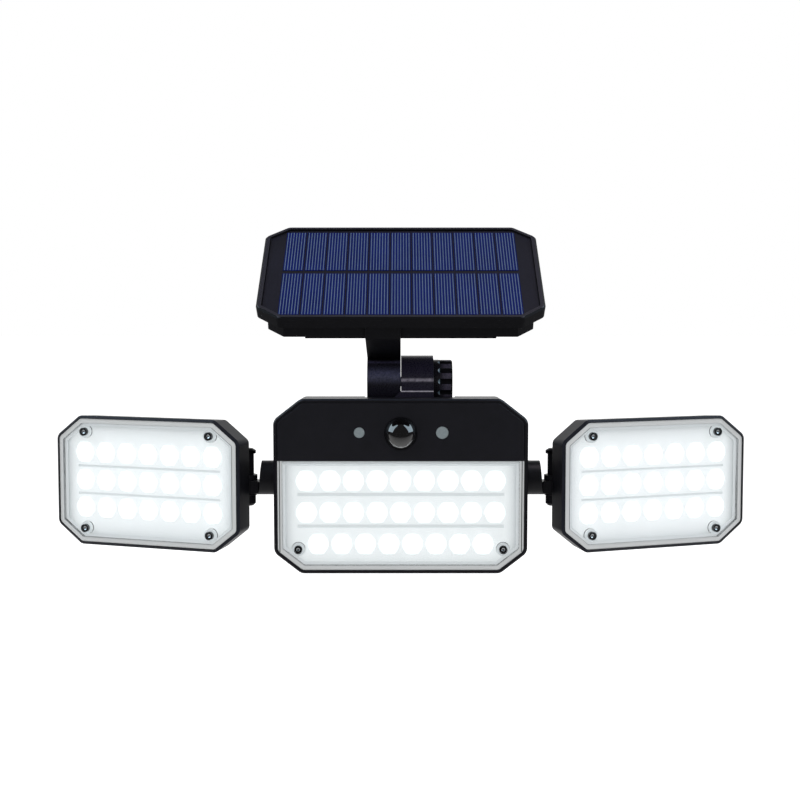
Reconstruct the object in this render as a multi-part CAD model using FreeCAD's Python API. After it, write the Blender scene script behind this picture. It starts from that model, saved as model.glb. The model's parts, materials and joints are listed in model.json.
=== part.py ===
import FreeCAD, Part

import math
import os

V = FreeCAD.Vector

# Motion sensor security light. Millimetres, +Z up, +X to the right as seen from the front, light towards -Y.
# The origin is the centre of the wall plate's rear face, so the wall is the plane Y = 0.
# Depths called "depth" run from the front plane of a lamp head, or from the top of the solar panel, inwards.

# ---- running and fitting gaps ----
SHAFT_GAP = 0.1
SEAT_GAP = 0.2
SIDE_GAP = 0.3

# ---- shapes in general ----
SMALLEST_CORNER = 0.9
OVERLAP = 0.5

# ---- wall plate and rear pod ----
PLATE_DEPTH = 8.0
PLATE_HOLE_RADIUS = 2.5
PLATE_HOLE_SPACING = 60.0
PLATE_COUNTERBORE_RADIUS = 5.0
PLATE_COUNTERBORE_DEPTH = 4.5
POD_WIDTH = 102.0
POD_HEIGHT = 66.0
POD_CUT = 12.0
POD_DEPTH = 36.0
POD_SKIRT_WALL = 2.2
POD_LEDGE = 2.4
WALL_SHADOW_GAP = 1.0
REAR_COVER_THICKNESS = 2.4
REAR_SCREW_FROM_SIDE = 9.0
REAR_SCREW_FROM_TOP = 11.0
LOCK_SCREW_LENGTH = 9.0

# ---- main lamp head ----
MAIN_WIDTH = 145.6
MAIN_HEIGHT = 101.2
MAIN_CUT_X = 15.6
MAIN_CUT_Z = 12.2
MAIN_DEPTH = 32.0
MAIN_CORNER = 6.0
MAIN_LIP = 1.95
MAIN_BEVEL = 0.9
MAIN_DRAFT_DEGREES = 3.0
FASCIA_HEIGHT = 35.7
MAIN_LENS_PITCH = 13.6
MAIN_ROW_PITCH = 18.45
MAIN_ROW_FROM_TOP = 12.05
MAIN_LENS_FROM_SIDE = 18.0
MAIN_LENS_FROM_BOTTOM = 15.5
MAIN_BAR_FROM_SIDE = 13.3
MAIN_BAR_WIDTH = 1.9
MAIN_BAR_RISE = 1.25
MAIN_SCREW_FROM_SIDE = 13.8
MAIN_SCREW_FROM_BOTTOM = 13.8
CROSSBAR_HEIGHT = 7.0

# ---- side lamp heads ----
SIDE_WIDTH = 119.7
SIDE_HEIGHT = 76.6
SIDE_CUT_X = 15.5
SIDE_CUT_Z = 12.2
SIDE_DEPTH = 17.9
SIDE_CORNER = 5.0
SIDE_LIP = 1.7
SIDE_BEVEL = 1.4
SIDE_DRAFT_DEGREES = 4.0
SIDE_YAW_DEGREES = 20.0
SIDE_LEAN_DEGREES = 1.5
SIDE_DROP = 0.3
SIDE_LAMP_OUTSET = 0.6
SIDE_LENS_PITCH = 14.0
SIDE_ROW_PITCH = 16.4
SIDE_LENS_FROM_SIDE = 17.0
SIDE_LENS_FROM_TOP = 21.0
SIDE_BAR_FROM_SIDE = 13.15
SIDE_BAR_WIDTH = 1.3
SIDE_SCREW_FROM_SIDE = 18.85
SIDE_SCREW_FROM_TOP = 9.6

# ---- layers inside every lamp head ----
BACK_WALL = 2.4
LEDGE_WIDTH = 2.9
BOARD_LEDGE = 2.0
FLANGE_RECESS = 0.8
FLANGE_THICKNESS = 1.8
WINDOW_RECESS = 0.2
WINDOW_THICKNESS = 1.8
GASKET_THICKNESS = 0.8
REFLECTOR_DEPTH = 4.2
REFLECTOR_THICKNESS = 1.6
REFLECTOR_SKIRT = 1.2
BAR_DEPTH = 0.8
BOARD_DEPTH = 9.0
BOARD_THICKNESS = 1.6
LENS_RADIUS = 6.1
LENS_APEX_DEPTH = 3.0
LENS_SHOULDER_DEPTH = 5.0
LENS_POCKET_RADIUS = 2.6
LENS_POCKET_DEPTH = 1.2
CHIP_SIZE = 3.0
CHIP_THICKNESS = 0.8
SCREW_HEAD_RADIUS = 2.2
SCREW_HEAD_HEIGHT = 1.6
SCREW_SHANK_RADIUS = 1.2
SCREW_SLOT_LENGTH = 2.64
SCREW_SLOT_WIDTH = 0.62
SCREW_BOSS_RADIUS = 3.2
SCREW_TOP_DEPTH = 0.8
COVER_BOSS_RADIUS = 3.7
COVER_BOSS_DEPTH = 4.0
SCREW_BITE = 7.0

# ---- motion sensor and windows in the fascia ----
SENSOR_DROP = 19.9
DOME_RADIUS = 8.9
DOME_REACH = 7.0
DOME_WALL = 0.9
DOME_FLANGE_WIDTH = 2.0
DOME_FLANGE_THICKNESS = 1.2
DOME_RING_RADIUS = 9.45
DOME_RING_DEPTH = 0.5
SMALL_WINDOW_X = 23.7
SMALL_WINDOW_DROP = 19.4
LIGHT_SENSOR_RADIUS = 3.05
INDICATOR_RADIUS = 3.55
SMALL_WINDOW_DEPTH = 0.15
SMALL_WINDOW_RIM = 1.0
FASCIA_LAP = 3.0
FASCIA_BEVEL = 0.9
CONTROL_BOARD_WIDTH = 62.0
CONTROL_BOARD_HEIGHT = 22.0
CONTROL_BOARD_DEPTH = 11.6
CONTROL_POST_RADIUS = 2.4
CONTROL_POST_INSET = 3.4
PIR_CAN_RADIUS = 4.6
PIR_CAN_HEIGHT = 4.4
PIR_CAN_RIM = 0.6
PIR_WINDOW_WIDTH = 4.0
PIR_WINDOW_HEIGHT = 3.0
PIR_WINDOW_DEPTH = 0.4

# ---- battery and mode button ----
CELL_RADIUS = 9.2
CELL_LENGTH = 65.0
CELL_SPACING = 20.6
CRADLE_RIM = 3.0
MODE_BUTTON_X = 28.0
MODE_BUTTON_BACK = 18.0
MODE_BUTTON_RADIUS = 5.0
MODE_BUTTON_REACH = 1.5
MODE_BUTTON_FLANGE = 1.2
MODE_BUTTON_RIM = 1.2
MODE_BUTTON_TRAVEL = 1.2
MODE_SWITCH_SIZE = 6.0
MODE_SWITCH_FOOT = 4.0

# ---- hinge of the solar panel ----
HINGE_BEHIND_HEAD = 4.0
HINGE_RISE = 6.6
KNUCKLE_RADIUS = 15.5
MOVING_KNUCKLE_WIDTH = 19.6
FIXED_KNUCKLE_WIDTH = 18.9
KNOB_WIDTH = 11.0
KNOB_RADIUS = 13.05
KNOB_FLUTES = 12
KNOB_FLUTE_PHASE = 0.82
KNOB_FLUTE_RADIUS = 2.3
KNOB_FLUTE_OUTSET = 1.35
KNOB_COLLAR = 1.9
KNOB_BEVEL = 0.9
WASHER_THICKNESS = 0.8
WASHER_RADIUS = 9.0
HINGE_BOLT_RADIUS = 2.9
HINGE_BOLT_HEAD_RADIUS = 5.2
HINGE_BOLT_HEAD = 3.6
HINGE_BOLT_INSET = 0.6
INSERT_RADIUS = 5.6
INSERT_LENGTH = 6.0
POCKET_FLOOR_GAP = 2.1
POCKET_SIDE = 1.5
POCKET_FRONT_GAP = 0.5
POCKET_WALL = 2.2
FOOT_LEFT = 3.7
FOOT_RISE = 2.6
BAND_HEIGHT = 3.0
NECK_SETBACK = 3.0

# ---- solar panel ----
PANEL_WIDTH = 160.0
PANEL_LENGTH = 100.3
PANEL_CUT_X = 13.0
PANEL_CUT_Z = 11.3
PANEL_CORNER = 5.0
PANEL_TILT_DEGREES = 30.0
PANEL_RISE = 69.5
PANEL_BACK = 12.05
RIM_DEPTH = 7.0
RIM_BEVEL = 1.0
BEZEL_WIDTH = 3.0
BEZEL_RECESS = 0.8
RIM_INNER_INSET = 14.0
LAMINATE_THICKNESS = 2.4
CELL_THICKNESS = 0.3
PANEL_GASKET_THICKNESS = 0.6
PANEL_GASKET_WIDTH = 5.0
TRAY_INSET = 6.0
TRAY_DEPTH = 9.5
TRAY_WALL = 2.2
TRAY_STEP = 1.0
TRAY_STEP_HALF = 53.0
CELL_COLUMN_PITCH = 12.2
CELL_COLUMN_GAP = 0.9
CELL_ROW_GAP = 3.2
CELL_SIDE_BORDER = 13.0
CELL_FRONT_BORDER = 5.2
CELL_REAR_BORDER = 6.1
PANEL_SCREW_INSET = 10.8
ARM_LAP = 2.6
ARM_FRONT_ANGLE = 82.7
ARM_REAR_TOP = 8.0
ARM_REAR_INSET = 0.5
ARM_REAR_HEIGHT = 3.9

# ---- side arms and pivots ----
ARM_DEPTH = 18.0
ARM_Z = 2.7
BARREL_RADIUS = 9.95
BARREL_LENGTH = 9.1
BARREL_SLANT = 0.8
SOCKET_INSET = 0.2
SOCKET_RIM = 0.65
TONGUE_TOP_DROP = 1.7
TONGUE_HALF_WIDTH = 5.0
WAIST_LENGTH = 1.0
WAIST_INSET = 0.6
EYE_RADIUS = 5.3
EYE_DROP = 0.15
PIVOT_REACH = 16.6
PIVOT_TO_SIDE = 5.6
PIVOT_TO_BACK = 6.0
SPIGOT_RADIUS = 5.5
SPIGOT_TAIL = 1.0
CLIP_RADIUS = 7.2
CLIP_THICKNESS = 1.2
CLIP_GROOVE_RADIUS = 3.9
RING_RADIUS = 0.8
RING_INSET = 3.0
WIRE_BORE_RADIUS = 2.2
DETENT_RADIUS = 5.6
DETENT_HEIGHT = 3.3
DETENT_TEETH = 18
DETENT_NOTCH = 0.6
SLEEVE_RADIUS = 3.6
SLEEVE_HEIGHT = 12.4
LOWER_KNUCKLE_RADIUS = 4.6
LOWER_KNUCKLE_HEIGHT = 6.0
LOWER_KNUCKLE_BEVEL = 1.4
PIVOT_WEB = 5.0
PIVOT_CAP_RADIUS = 4.8
PIVOT_CAP_EDGE = 1.8
PIVOT_CAP_CROWN = 1.2
PIVOT_CAP_CROWN_RADIUS = 2.9
PIVOT_SCREW_RADIUS = 1.5
PIVOT_TIP_HEIGHT = 2.0

# ---- places worked out from the sizes above ----
FRONT_Y = -(PLATE_DEPTH + POD_DEPTH + MAIN_DEPTH)
MAIN_TOP = MAIN_HEIGHT / 2
MAIN_COVER_TOP = MAIN_TOP - FASCIA_HEIGHT
MAIN_SCREW_X = MAIN_WIDTH / 2 - MAIN_SCREW_FROM_SIDE
MAIN_SCREW_Z = MAIN_SCREW_FROM_BOTTOM - MAIN_HEIGHT / 2
SIDE_SCREW_X = SIDE_WIDTH / 2 - SIDE_SCREW_FROM_SIDE
SIDE_SCREW_Z = SIDE_HEIGHT / 2 - SIDE_SCREW_FROM_TOP
SENSOR_Z = MAIN_TOP - SENSOR_DROP
SMALL_WINDOW_Z = MAIN_TOP - SMALL_WINDOW_DROP
HINGE_DEPTH = MAIN_DEPTH + HINGE_BEHIND_HEAD
HINGE_Y = FRONT_Y + HINGE_DEPTH
HINGE_Z = MAIN_TOP + HINGE_RISE
POCKET_DEPTH = KNUCKLE_RADIUS - HINGE_RISE + POCKET_FLOOR_GAP
ARM_Y = FRONT_Y + ARM_DEPTH
SOCKET_FACE = MAIN_WIDTH / 2 - SOCKET_INSET
SOCKET_RADIUS = BARREL_RADIUS + SOCKET_RIM
BARREL_END = SOCKET_FACE + BARREL_LENGTH
PIVOT_X = SOCKET_FACE + PIVOT_REACH
TONGUE_TOP = ARM_Z - TONGUE_TOP_DROP
TONGUE_BOTTOM = ARM_Z - BARREL_RADIUS - EYE_DROP
SLEEVE_LOW = TONGUE_TOP + SEAT_GAP + DETENT_HEIGHT
SLEEVE_TOP = SLEEVE_LOW + SLEEVE_HEIGHT
HOUSING_WALL_INSET = MAIN_LIP + LEDGE_WIDTH + BOARD_LEDGE
CLIP_X = MAIN_WIDTH / 2 - HOUSING_WALL_INSET - SHAFT_GAP - CLIP_THICKNESS
SPIGOT_END = CLIP_X - SPIGOT_TAIL
RING_X = SOCKET_FACE - RING_INSET
LEDGE_DEPTH = FLANGE_RECESS + FLANGE_THICKNESS + GASKET_THICKNESS
BOARD_BACK = BOARD_DEPTH + BOARD_THICKNESS
POD_CAVITY_INSET = POD_SKIRT_WALL + POD_LEDGE
KNUCKLE_SPLIT = SEAT_GAP
FIXED_KNUCKLE_END = KNUCKLE_SPLIT + FIXED_KNUCKLE_WIDTH
KNOB_START = FIXED_KNUCKLE_END + SEAT_GAP
INSERT_START = FIXED_KNUCKLE_END + WASHER_THICKNESS + SHAFT_GAP
INSERT_END = INSERT_START + INSERT_LENGTH
KNOB_END = KNOB_START + KNOB_WIDTH


class Head:
    """The outline and the lamp layout that one lamp head's layers share."""

    def __init__(self, width, height, cut_x, cut_z, corner, depth):
        self.width = width
        self.height = height
        self.cut_x = cut_x
        self.cut_z = cut_z
        self.corner = corner
        self.depth = depth
        self.bar_middle = 0.0
        self.window_top = None
        self.cavity_top = None

    def points(self, inset, top=None):
        return cut_corner(self.width, self.height, self.cut_x, self.cut_z, inset, top)

    def prism(self, inset, front, back, top=None):
        corners = self.points(inset, top)
        return prism(corners, max(self.corner - inset, SMALLEST_CORNER), front, back)


# ---- small builders ----
def cut_corner(width, height, cut_x, cut_z, inset=0.0, top=None):
    """Corner points (x, z) of a rectangle with cut corners, drawn in by inset, and level at top if given."""
    spare = cut_x + cut_z - math.hypot(cut_x, cut_z)
    leg_x = cut_x - inset * spare / cut_z
    leg_z = cut_z - inset * spare / cut_x
    x = width / 2 - inset
    z = height / 2 - inset
    lower = [(-x, leg_z - z), (leg_x - x, -z), (x - leg_x, -z), (x, leg_z - z)]
    if top is not None:
        return lower + [(x, top), (-x, top)]
    return lower + [(x, z - leg_z), (x - leg_x, z), (leg_x - x, z), (-x, z - leg_z)]


def outline(points, radius, y=0.0):
    """Closed wire through the points (x, z) at depth y, with an arc of the given radius at each corner."""
    bends = []
    for i, (x, z) in enumerate(points):
        here = V(x, y, z)
        before = V(points[i - 1][0], y, points[i - 1][1]) - here
        after = V(points[(i + 1) % len(points)][0], y, points[(i + 1) % len(points)][1]) - here
        half = before.getAngle(after) / 2
        before.normalize()
        after.normalize()
        middle = before + after
        middle.normalize()
        back = radius / math.tan(half)
        arc_middle = here + middle * (radius / math.sin(half) - radius)
        bends.append((here + before * back, arc_middle, here + after * back))
    edges = []
    for i, (start, middle, end) in enumerate(bends):
        edges.append(Part.Arc(start, middle, end).toShape())
        edges.append(Part.LineSegment(end, bends[(i + 1) % len(bends)][0]).toShape())
    return Part.Wire(edges)


def prism(points, radius, front, back):
    return Part.Face(outline(points, radius, front)).extrude(V(0, back - front, 0))


def box(x, y, z):
    """Box between the low and high values of each pair."""
    return Part.makeBox(x[1] - x[0], y[1] - y[0], z[1] - z[0], V(x[0], y[0], z[0]))


def rod(radius, start, end):
    """Solid cylinder from start to end."""
    along = end - start
    return Part.makeCylinder(radius, along.Length, start, along)


def depth_rod(radius, x, z, front, back):
    """Cylinder along the depth of a head."""
    return rod(radius, V(x, front, z), V(x, back, z))


def mirrored(shape):
    return shape.mirror(V(0, 0, 0), V(1, 0, 0))


def lamp_screw(x, z, top, head_height, length):
    """Round-headed screw with a cross slot, its head's top at depth top."""
    floor = top + head_height / 2
    head = depth_rod(SCREW_HEAD_RADIUS, x, z, top, top + head_height)
    shank = depth_rod(SCREW_SHANK_RADIUS, x, z, floor, top + head_height + length)
    long = SCREW_SLOT_LENGTH / 2
    short = SCREW_SLOT_WIDTH / 2
    across = box((x - long, x + long), (top - 1, floor), (z - short, z + short))
    upright = box((x - short, x + short), (top - 1, floor), (z - long, z + long))
    return head.fuse(shank).cut(across).cut(upright)


# ---- layouts ----
def how_many(span, pitch):
    """Number of places a pitch apart that fit in a span."""
    return int(span / pitch) + 1


def lens_places(counts, pitch, row_pitch, centre_z):
    """Lens centres (x, z), with the rows listed from the bottom up."""
    places = []
    for row, count in enumerate(counts):
        z = centre_z + (row - (len(counts) - 1) / 2) * row_pitch
        places += [((column - (count - 1) / 2) * pitch, z) for column in range(count)]
    return places


def bar_heights(rows, row_pitch, centre_z):
    """Heights midway between the rows of lenses."""
    return [centre_z + (row + 1 - rows / 2) * row_pitch for row in range(rows - 1)]


def main_head():
    head = Head(MAIN_WIDTH, MAIN_HEIGHT, MAIN_CUT_X, MAIN_CUT_Z, MAIN_CORNER, MAIN_DEPTH)
    head.lip = MAIN_LIP
    head.bevel = MAIN_BEVEL
    head.window_top = MAIN_COVER_TOP
    head.cavity_top = MAIN_COVER_TOP - GASKET_THICKNESS * 3
    top_row = MAIN_COVER_TOP - MAIN_ROW_FROM_TOP
    columns = how_many(MAIN_WIDTH - 2 * MAIN_LENS_FROM_SIDE, MAIN_LENS_PITCH)
    rows = how_many(top_row + MAIN_HEIGHT / 2 - MAIN_LENS_FROM_BOTTOM, MAIN_ROW_PITCH)
    counts = [columns - 1] + [columns] * (rows - 1)
    centre = top_row - (rows - 1) / 2 * MAIN_ROW_PITCH
    head.lenses = lens_places(counts, MAIN_LENS_PITCH, MAIN_ROW_PITCH, centre)
    head.bars = bar_heights(rows, MAIN_ROW_PITCH, centre + MAIN_BAR_RISE)
    head.bar_size = (MAIN_WIDTH - 2 * MAIN_BAR_FROM_SIDE, MAIN_BAR_WIDTH)
    head.screws = [(side * MAIN_SCREW_X, MAIN_SCREW_Z) for side in (-1, 1)]
    head.draft = math.tan(math.radians(MAIN_DRAFT_DEGREES))
    return head


def side_head():
    head = Head(SIDE_WIDTH, SIDE_HEIGHT, SIDE_CUT_X, SIDE_CUT_Z, SIDE_CORNER, SIDE_DEPTH)
    head.lip = SIDE_LIP
    head.bevel = SIDE_BEVEL
    columns = how_many(SIDE_WIDTH - 2 * SIDE_LENS_FROM_SIDE, SIDE_LENS_PITCH)
    rows = how_many(SIDE_HEIGHT - 2 * SIDE_LENS_FROM_TOP, SIDE_ROW_PITCH)
    places = lens_places([columns] * rows, SIDE_LENS_PITCH, SIDE_ROW_PITCH, 0.0)
    head.lenses = [(x + SIDE_LAMP_OUTSET, z) for x, z in places]
    head.bars = bar_heights(rows, SIDE_ROW_PITCH, 0.0)
    head.bar_size = (SIDE_WIDTH - 2 * SIDE_BAR_FROM_SIDE, SIDE_BAR_WIDTH)
    head.bar_middle = SIDE_LAMP_OUTSET
    sides = (-SIDE_SCREW_X, SIDE_SCREW_X)
    head.screws = [(x + SIDE_LAMP_OUTSET, z) for x in sides for z in (-SIDE_SCREW_Z, SIDE_SCREW_Z)]
    head.draft = math.tan(math.radians(SIDE_DRAFT_DEGREES))
    return head


# ---- layers of a lamp head, with the front plane at depth 0 ----
def shell_outside(head):
    """Drafted outside of a head, bevelled at the front and the back."""
    back_inset = head.draft * (head.depth - head.bevel)
    steps = [
        (0.0, head.bevel),
        (head.bevel, 0.0),
        (head.depth - head.bevel, back_inset),
        (head.depth, back_inset + head.bevel),
    ]
    wires = [outline(head.points(inset), head.corner - inset, depth) for depth, inset in steps]
    return Part.makeLoft(wires, True, True)


def screw_posts(head):
    front = COVER_BOSS_DEPTH + SEAT_GAP
    back = head.depth - BACK_WALL + OVERLAP
    return [depth_rod(SCREW_BOSS_RADIUS, x, z, front, back) for x, z in head.screws]


def screw_bores(head):
    reach = SCREW_TOP_DEPTH + SCREW_HEAD_HEIGHT + SCREW_BITE + SIDE_GAP
    return [depth_rod(SCREW_SHANK_RADIUS + SHAFT_GAP, x, z, 0, reach) for x, z in head.screws]


def lamp_cover(head):
    """Clear cover: a thin flange with a raised window and a boss at each screw."""
    top = head.window_top
    flange_top = None if top is None else top + FASCIA_LAP
    flange = head.prism(head.lip + SEAT_GAP, FLANGE_RECESS, FLANGE_RECESS + FLANGE_THICKNESS, flange_top)
    raised_inset = head.lip + LEDGE_WIDTH
    raised_top = None if top is None else top - SEAT_GAP
    raised = head.prism(raised_inset, WINDOW_RECESS, WINDOW_RECESS + WINDOW_THICKNESS, raised_top)
    hollow = head.prism(
        raised_inset + WINDOW_THICKNESS,
        WINDOW_RECESS + WINDOW_THICKNESS,
        FLANGE_RECESS + FLANGE_THICKNESS,
        None if top is None else raised_top - WINDOW_THICKNESS,
    )
    cover = flange.fuse(raised).cut(hollow)
    boss_front = WINDOW_RECESS + WINDOW_THICKNESS / 2
    bosses = [depth_rod(COVER_BOSS_RADIUS, x, z, boss_front, COVER_BOSS_DEPTH) for x, z in head.screws]
    cover = cover.fuse(bosses)
    seat = SCREW_TOP_DEPTH + SCREW_HEAD_HEIGHT
    for x, z in head.screws:
        cover = cover.cut(depth_rod(SCREW_HEAD_RADIUS + SEAT_GAP, x, z, -1, seat))
        cover = cover.cut(depth_rod(SCREW_SHANK_RADIUS + SHAFT_GAP, x, z, -1, COVER_BOSS_DEPTH + 1))
    return cover.removeSplitter()


def lamp_gasket(head):
    top = head.window_top
    front = FLANGE_RECESS + FLANGE_THICKNESS
    outer = head.prism(head.lip + SIDE_GAP, front, LEDGE_DEPTH, None if top is None else top + FASCIA_LAP)
    inner_top = None if top is None else top
    inner = head.prism(head.lip + LEDGE_WIDTH, front, LEDGE_DEPTH, inner_top)
    return outer.cut(inner)


def lamp_reflector(head):
    """Pale plate with a skirt that stands on the lamp board, a hole for each lens and the long bars."""
    inset = head.lip + LEDGE_WIDTH + SEAT_GAP
    top = None if head.cavity_top is None else head.cavity_top - SEAT_GAP
    floor_top = None if top is None else top - REFLECTOR_SKIRT
    plate_back = REFLECTOR_DEPTH + REFLECTOR_THICKNESS
    body = head.prism(inset, REFLECTOR_DEPTH, BOARD_DEPTH, top)
    body = body.cut(head.prism(inset + REFLECTOR_SKIRT, plate_back, BOARD_DEPTH, floor_top))
    for x, z in head.lenses:
        body = body.cut(depth_rod(LENS_RADIUS + SHAFT_GAP, x, z, 0, BOARD_DEPTH))
    long, short = (size / 2 for size in head.bar_size)
    span = (head.bar_middle - long, head.bar_middle + long)
    for z in head.bars:
        body = body.cut(box(span, (0, REFLECTOR_DEPTH + BAR_DEPTH), (z - short, z + short)))
    for x, z in head.screws:
        body = body.cut(depth_rod(COVER_BOSS_RADIUS + SIDE_GAP, x, z, 0, BOARD_DEPTH))
    return body


def lamp_lens(x, z):
    """One round lens: a cylinder with a domed front and a pocket over its lamp chip."""
    shoulder = V(x + LENS_RADIUS, LENS_SHOULDER_DEPTH, z)
    apex = V(x, LENS_APEX_DEPTH, z)
    sag = LENS_SHOULDER_DEPTH - LENS_APEX_DEPTH
    sphere = (LENS_RADIUS**2 + sag**2) / (2 * sag)
    turn = math.asin(LENS_RADIUS / sphere) / 2
    middle = V(x + sphere * math.sin(turn), LENS_APEX_DEPTH + sphere * (1 - math.cos(turn)), z)
    base = V(x + LENS_RADIUS, BOARD_DEPTH, z)
    pocket = V(x + LENS_POCKET_RADIUS, BOARD_DEPTH, z)
    pocket_top = V(x + LENS_POCKET_RADIUS, BOARD_DEPTH - LENS_POCKET_DEPTH, z)
    pocket_middle = V(x, BOARD_DEPTH - LENS_POCKET_DEPTH, z)
    corners = [shoulder, base, pocket, pocket_top, pocket_middle, apex]
    edges = [Part.LineSegment(a, b).toShape() for a, b in zip(corners, corners[1:])]
    edges.append(Part.Arc(apex, middle, shoulder).toShape())
    return Part.Face(Part.Wire(edges)).revolve(V(x, 0, z), V(0, 1, 0), 360)


def lamp_lenses(head):
    return Part.makeCompound([lamp_lens(x, z) for x, z in head.lenses])


def lamp_chips(head):
    half = CHIP_SIZE / 2
    front = BOARD_DEPTH - CHIP_THICKNESS
    chips = [box((x - half, x + half), (front, BOARD_DEPTH), (z - half, z + half)) for x, z in head.lenses]
    return Part.makeCompound(chips)


def lamp_board(head):
    inset = head.lip + LEDGE_WIDTH + SEAT_GAP * 2
    top = None if head.cavity_top is None else head.cavity_top - SEAT_GAP * 2
    board = head.prism(inset, BOARD_DEPTH, BOARD_BACK, top)
    for x, z in head.screws:
        board = board.cut(depth_rod(SCREW_BOSS_RADIUS + SIDE_GAP, x, z, 0, head.depth))
    return board


def lamp_screws(head):
    screws = [lamp_screw(x, z, SCREW_TOP_DEPTH, SCREW_HEAD_HEIGHT, SCREW_BITE) for x, z in head.screws]
    return Part.makeCompound(screws)


def lamp_layers(head, prefix, place):
    """Every layer of one lamp head but its housing, moved to its place by the function place."""
    return {
        prefix + "_cover": place(lamp_cover(head)),
        prefix + "_gasket": place(lamp_gasket(head)),
        prefix + "_reflector": place(lamp_reflector(head)),
        prefix + "_lenses": place(lamp_lenses(head)),
        prefix + "_lamp_board": place(lamp_board(head)),
        prefix + "_lamp_chips": place(lamp_chips(head)),
        prefix + "_cover_screws": place(lamp_screws(head)),
    }


# ---- main housing ----
def pod_prism(inset, front, back):
    corners = cut_corner(POD_WIDTH, POD_HEIGHT, POD_CUT, POD_CUT, inset)
    return prism(corners, max(MAIN_CORNER - inset, SMALLEST_CORNER), front, back)


def pocket_span():
    left = -MOVING_KNUCKLE_WIDTH - POCKET_SIDE
    right = KNOB_END + POCKET_SIDE
    return left, right


def hinge_pocket(grow=0.0):
    """Space cut out of the housing's top rear for the knuckles and the knob, or the wall around it."""
    left, right = pocket_span()
    front = HINGE_DEPTH - KNUCKLE_RADIUS - POCKET_FRONT_GAP - grow
    back = MAIN_DEPTH + (0 if grow else 1)
    low = MAIN_TOP - POCKET_DEPTH - grow
    return box((left - grow, right + grow), (front, back), (low, MAIN_TOP + 1))


def fixed_knuckle():
    """Barrel right of the hinge's middle, its neck down to the pod, and its foot on the housing's top."""
    axis = V(KNUCKLE_SPLIT, HINGE_DEPTH, HINGE_Z)
    end = V(FIXED_KNUCKLE_END, HINGE_DEPTH, HINGE_Z)
    span = (KNUCKLE_SPLIT, FIXED_KNUCKLE_END)
    barrel = rod(KNUCKLE_RADIUS, axis, end)
    neck_front = HINGE_DEPTH - KNUCKLE_RADIUS + SIDE_GAP
    neck_back = HINGE_DEPTH + KNUCKLE_RADIUS - NECK_SETBACK
    barrel_cut = box(span, (0, neck_front), (0, MAIN_TOP + FOOT_RISE))
    neck_low = POD_HEIGHT / 2 - POD_CAVITY_INSET / 2
    neck = box(span, (MAIN_DEPTH - 1, neck_back), (neck_low, HINGE_Z))
    pocket_floor = MAIN_TOP - POCKET_DEPTH - POCKET_WALL / 2
    front_neck = box(span, (neck_front, MAIN_DEPTH), (pocket_floor, HINGE_Z))
    band_front = HINGE_DEPTH - KNUCKLE_RADIUS - SHAFT_GAP
    band = box(span, (band_front, HINGE_DEPTH), (MAIN_TOP + FOOT_RISE, MAIN_TOP + FOOT_RISE + BAND_HEIGHT))
    foot_front = HINGE_DEPTH - KNUCKLE_RADIUS - POCKET_WALL
    foot_corners = [
        V(-FOOT_LEFT, foot_front, MAIN_TOP - POCKET_WALL),
        V(-FOOT_LEFT, foot_front, MAIN_TOP - FOOT_RISE / 3),
        V(KNUCKLE_SPLIT, foot_front, MAIN_TOP + FOOT_RISE),
        V(FIXED_KNUCKLE_END, foot_front, MAIN_TOP + FOOT_RISE),
        V(FIXED_KNUCKLE_END, foot_front, MAIN_TOP - POCKET_WALL),
    ]
    foot_face = Part.Face(Part.makePolygon(foot_corners + foot_corners[:1]))
    foot = foot_face.extrude(V(0, POCKET_WALL + SHAFT_GAP, 0))
    return barrel.cut(barrel_cut).fuse([neck, front_neck, band, foot])


def arm_sockets():
    """Round flat seats on the housing's two sides, one for each side arm."""
    inner = MAIN_WIDTH / 2 - MAIN_LIP - LEDGE_WIDTH
    right = rod(SOCKET_RADIUS, V(inner, ARM_DEPTH, ARM_Z), V(SOCKET_FACE, ARM_DEPTH, ARM_Z))
    return [right, mirrored(right)]


def rear_screw_places():
    x = POD_WIDTH / 2 - REAR_SCREW_FROM_SIDE
    z = POD_HEIGHT / 2 - REAR_SCREW_FROM_TOP
    return [(i * x, k * z) for i in (-1, 1) for k in (-1, 1)]


def rear_cover_depth():
    """Depth of the battery cover's outer face: just in front of the wall plate."""
    return MAIN_DEPTH + POD_DEPTH - SEAT_GAP


def mode_button_bore():
    y = MAIN_DEPTH + MODE_BUTTON_BACK
    low = -POD_HEIGHT / 2 - 1
    return rod(MODE_BUTTON_RADIUS + SEAT_GAP, V(MODE_BUTTON_X, y, low), V(MODE_BUTTON_X, y, low / 2))


def lock_screw_axis():
    """Depth of the lock screw, in the middle of the wall plate's thickness."""
    return MAIN_DEPTH + POD_DEPTH + PLATE_DEPTH / 2


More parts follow.
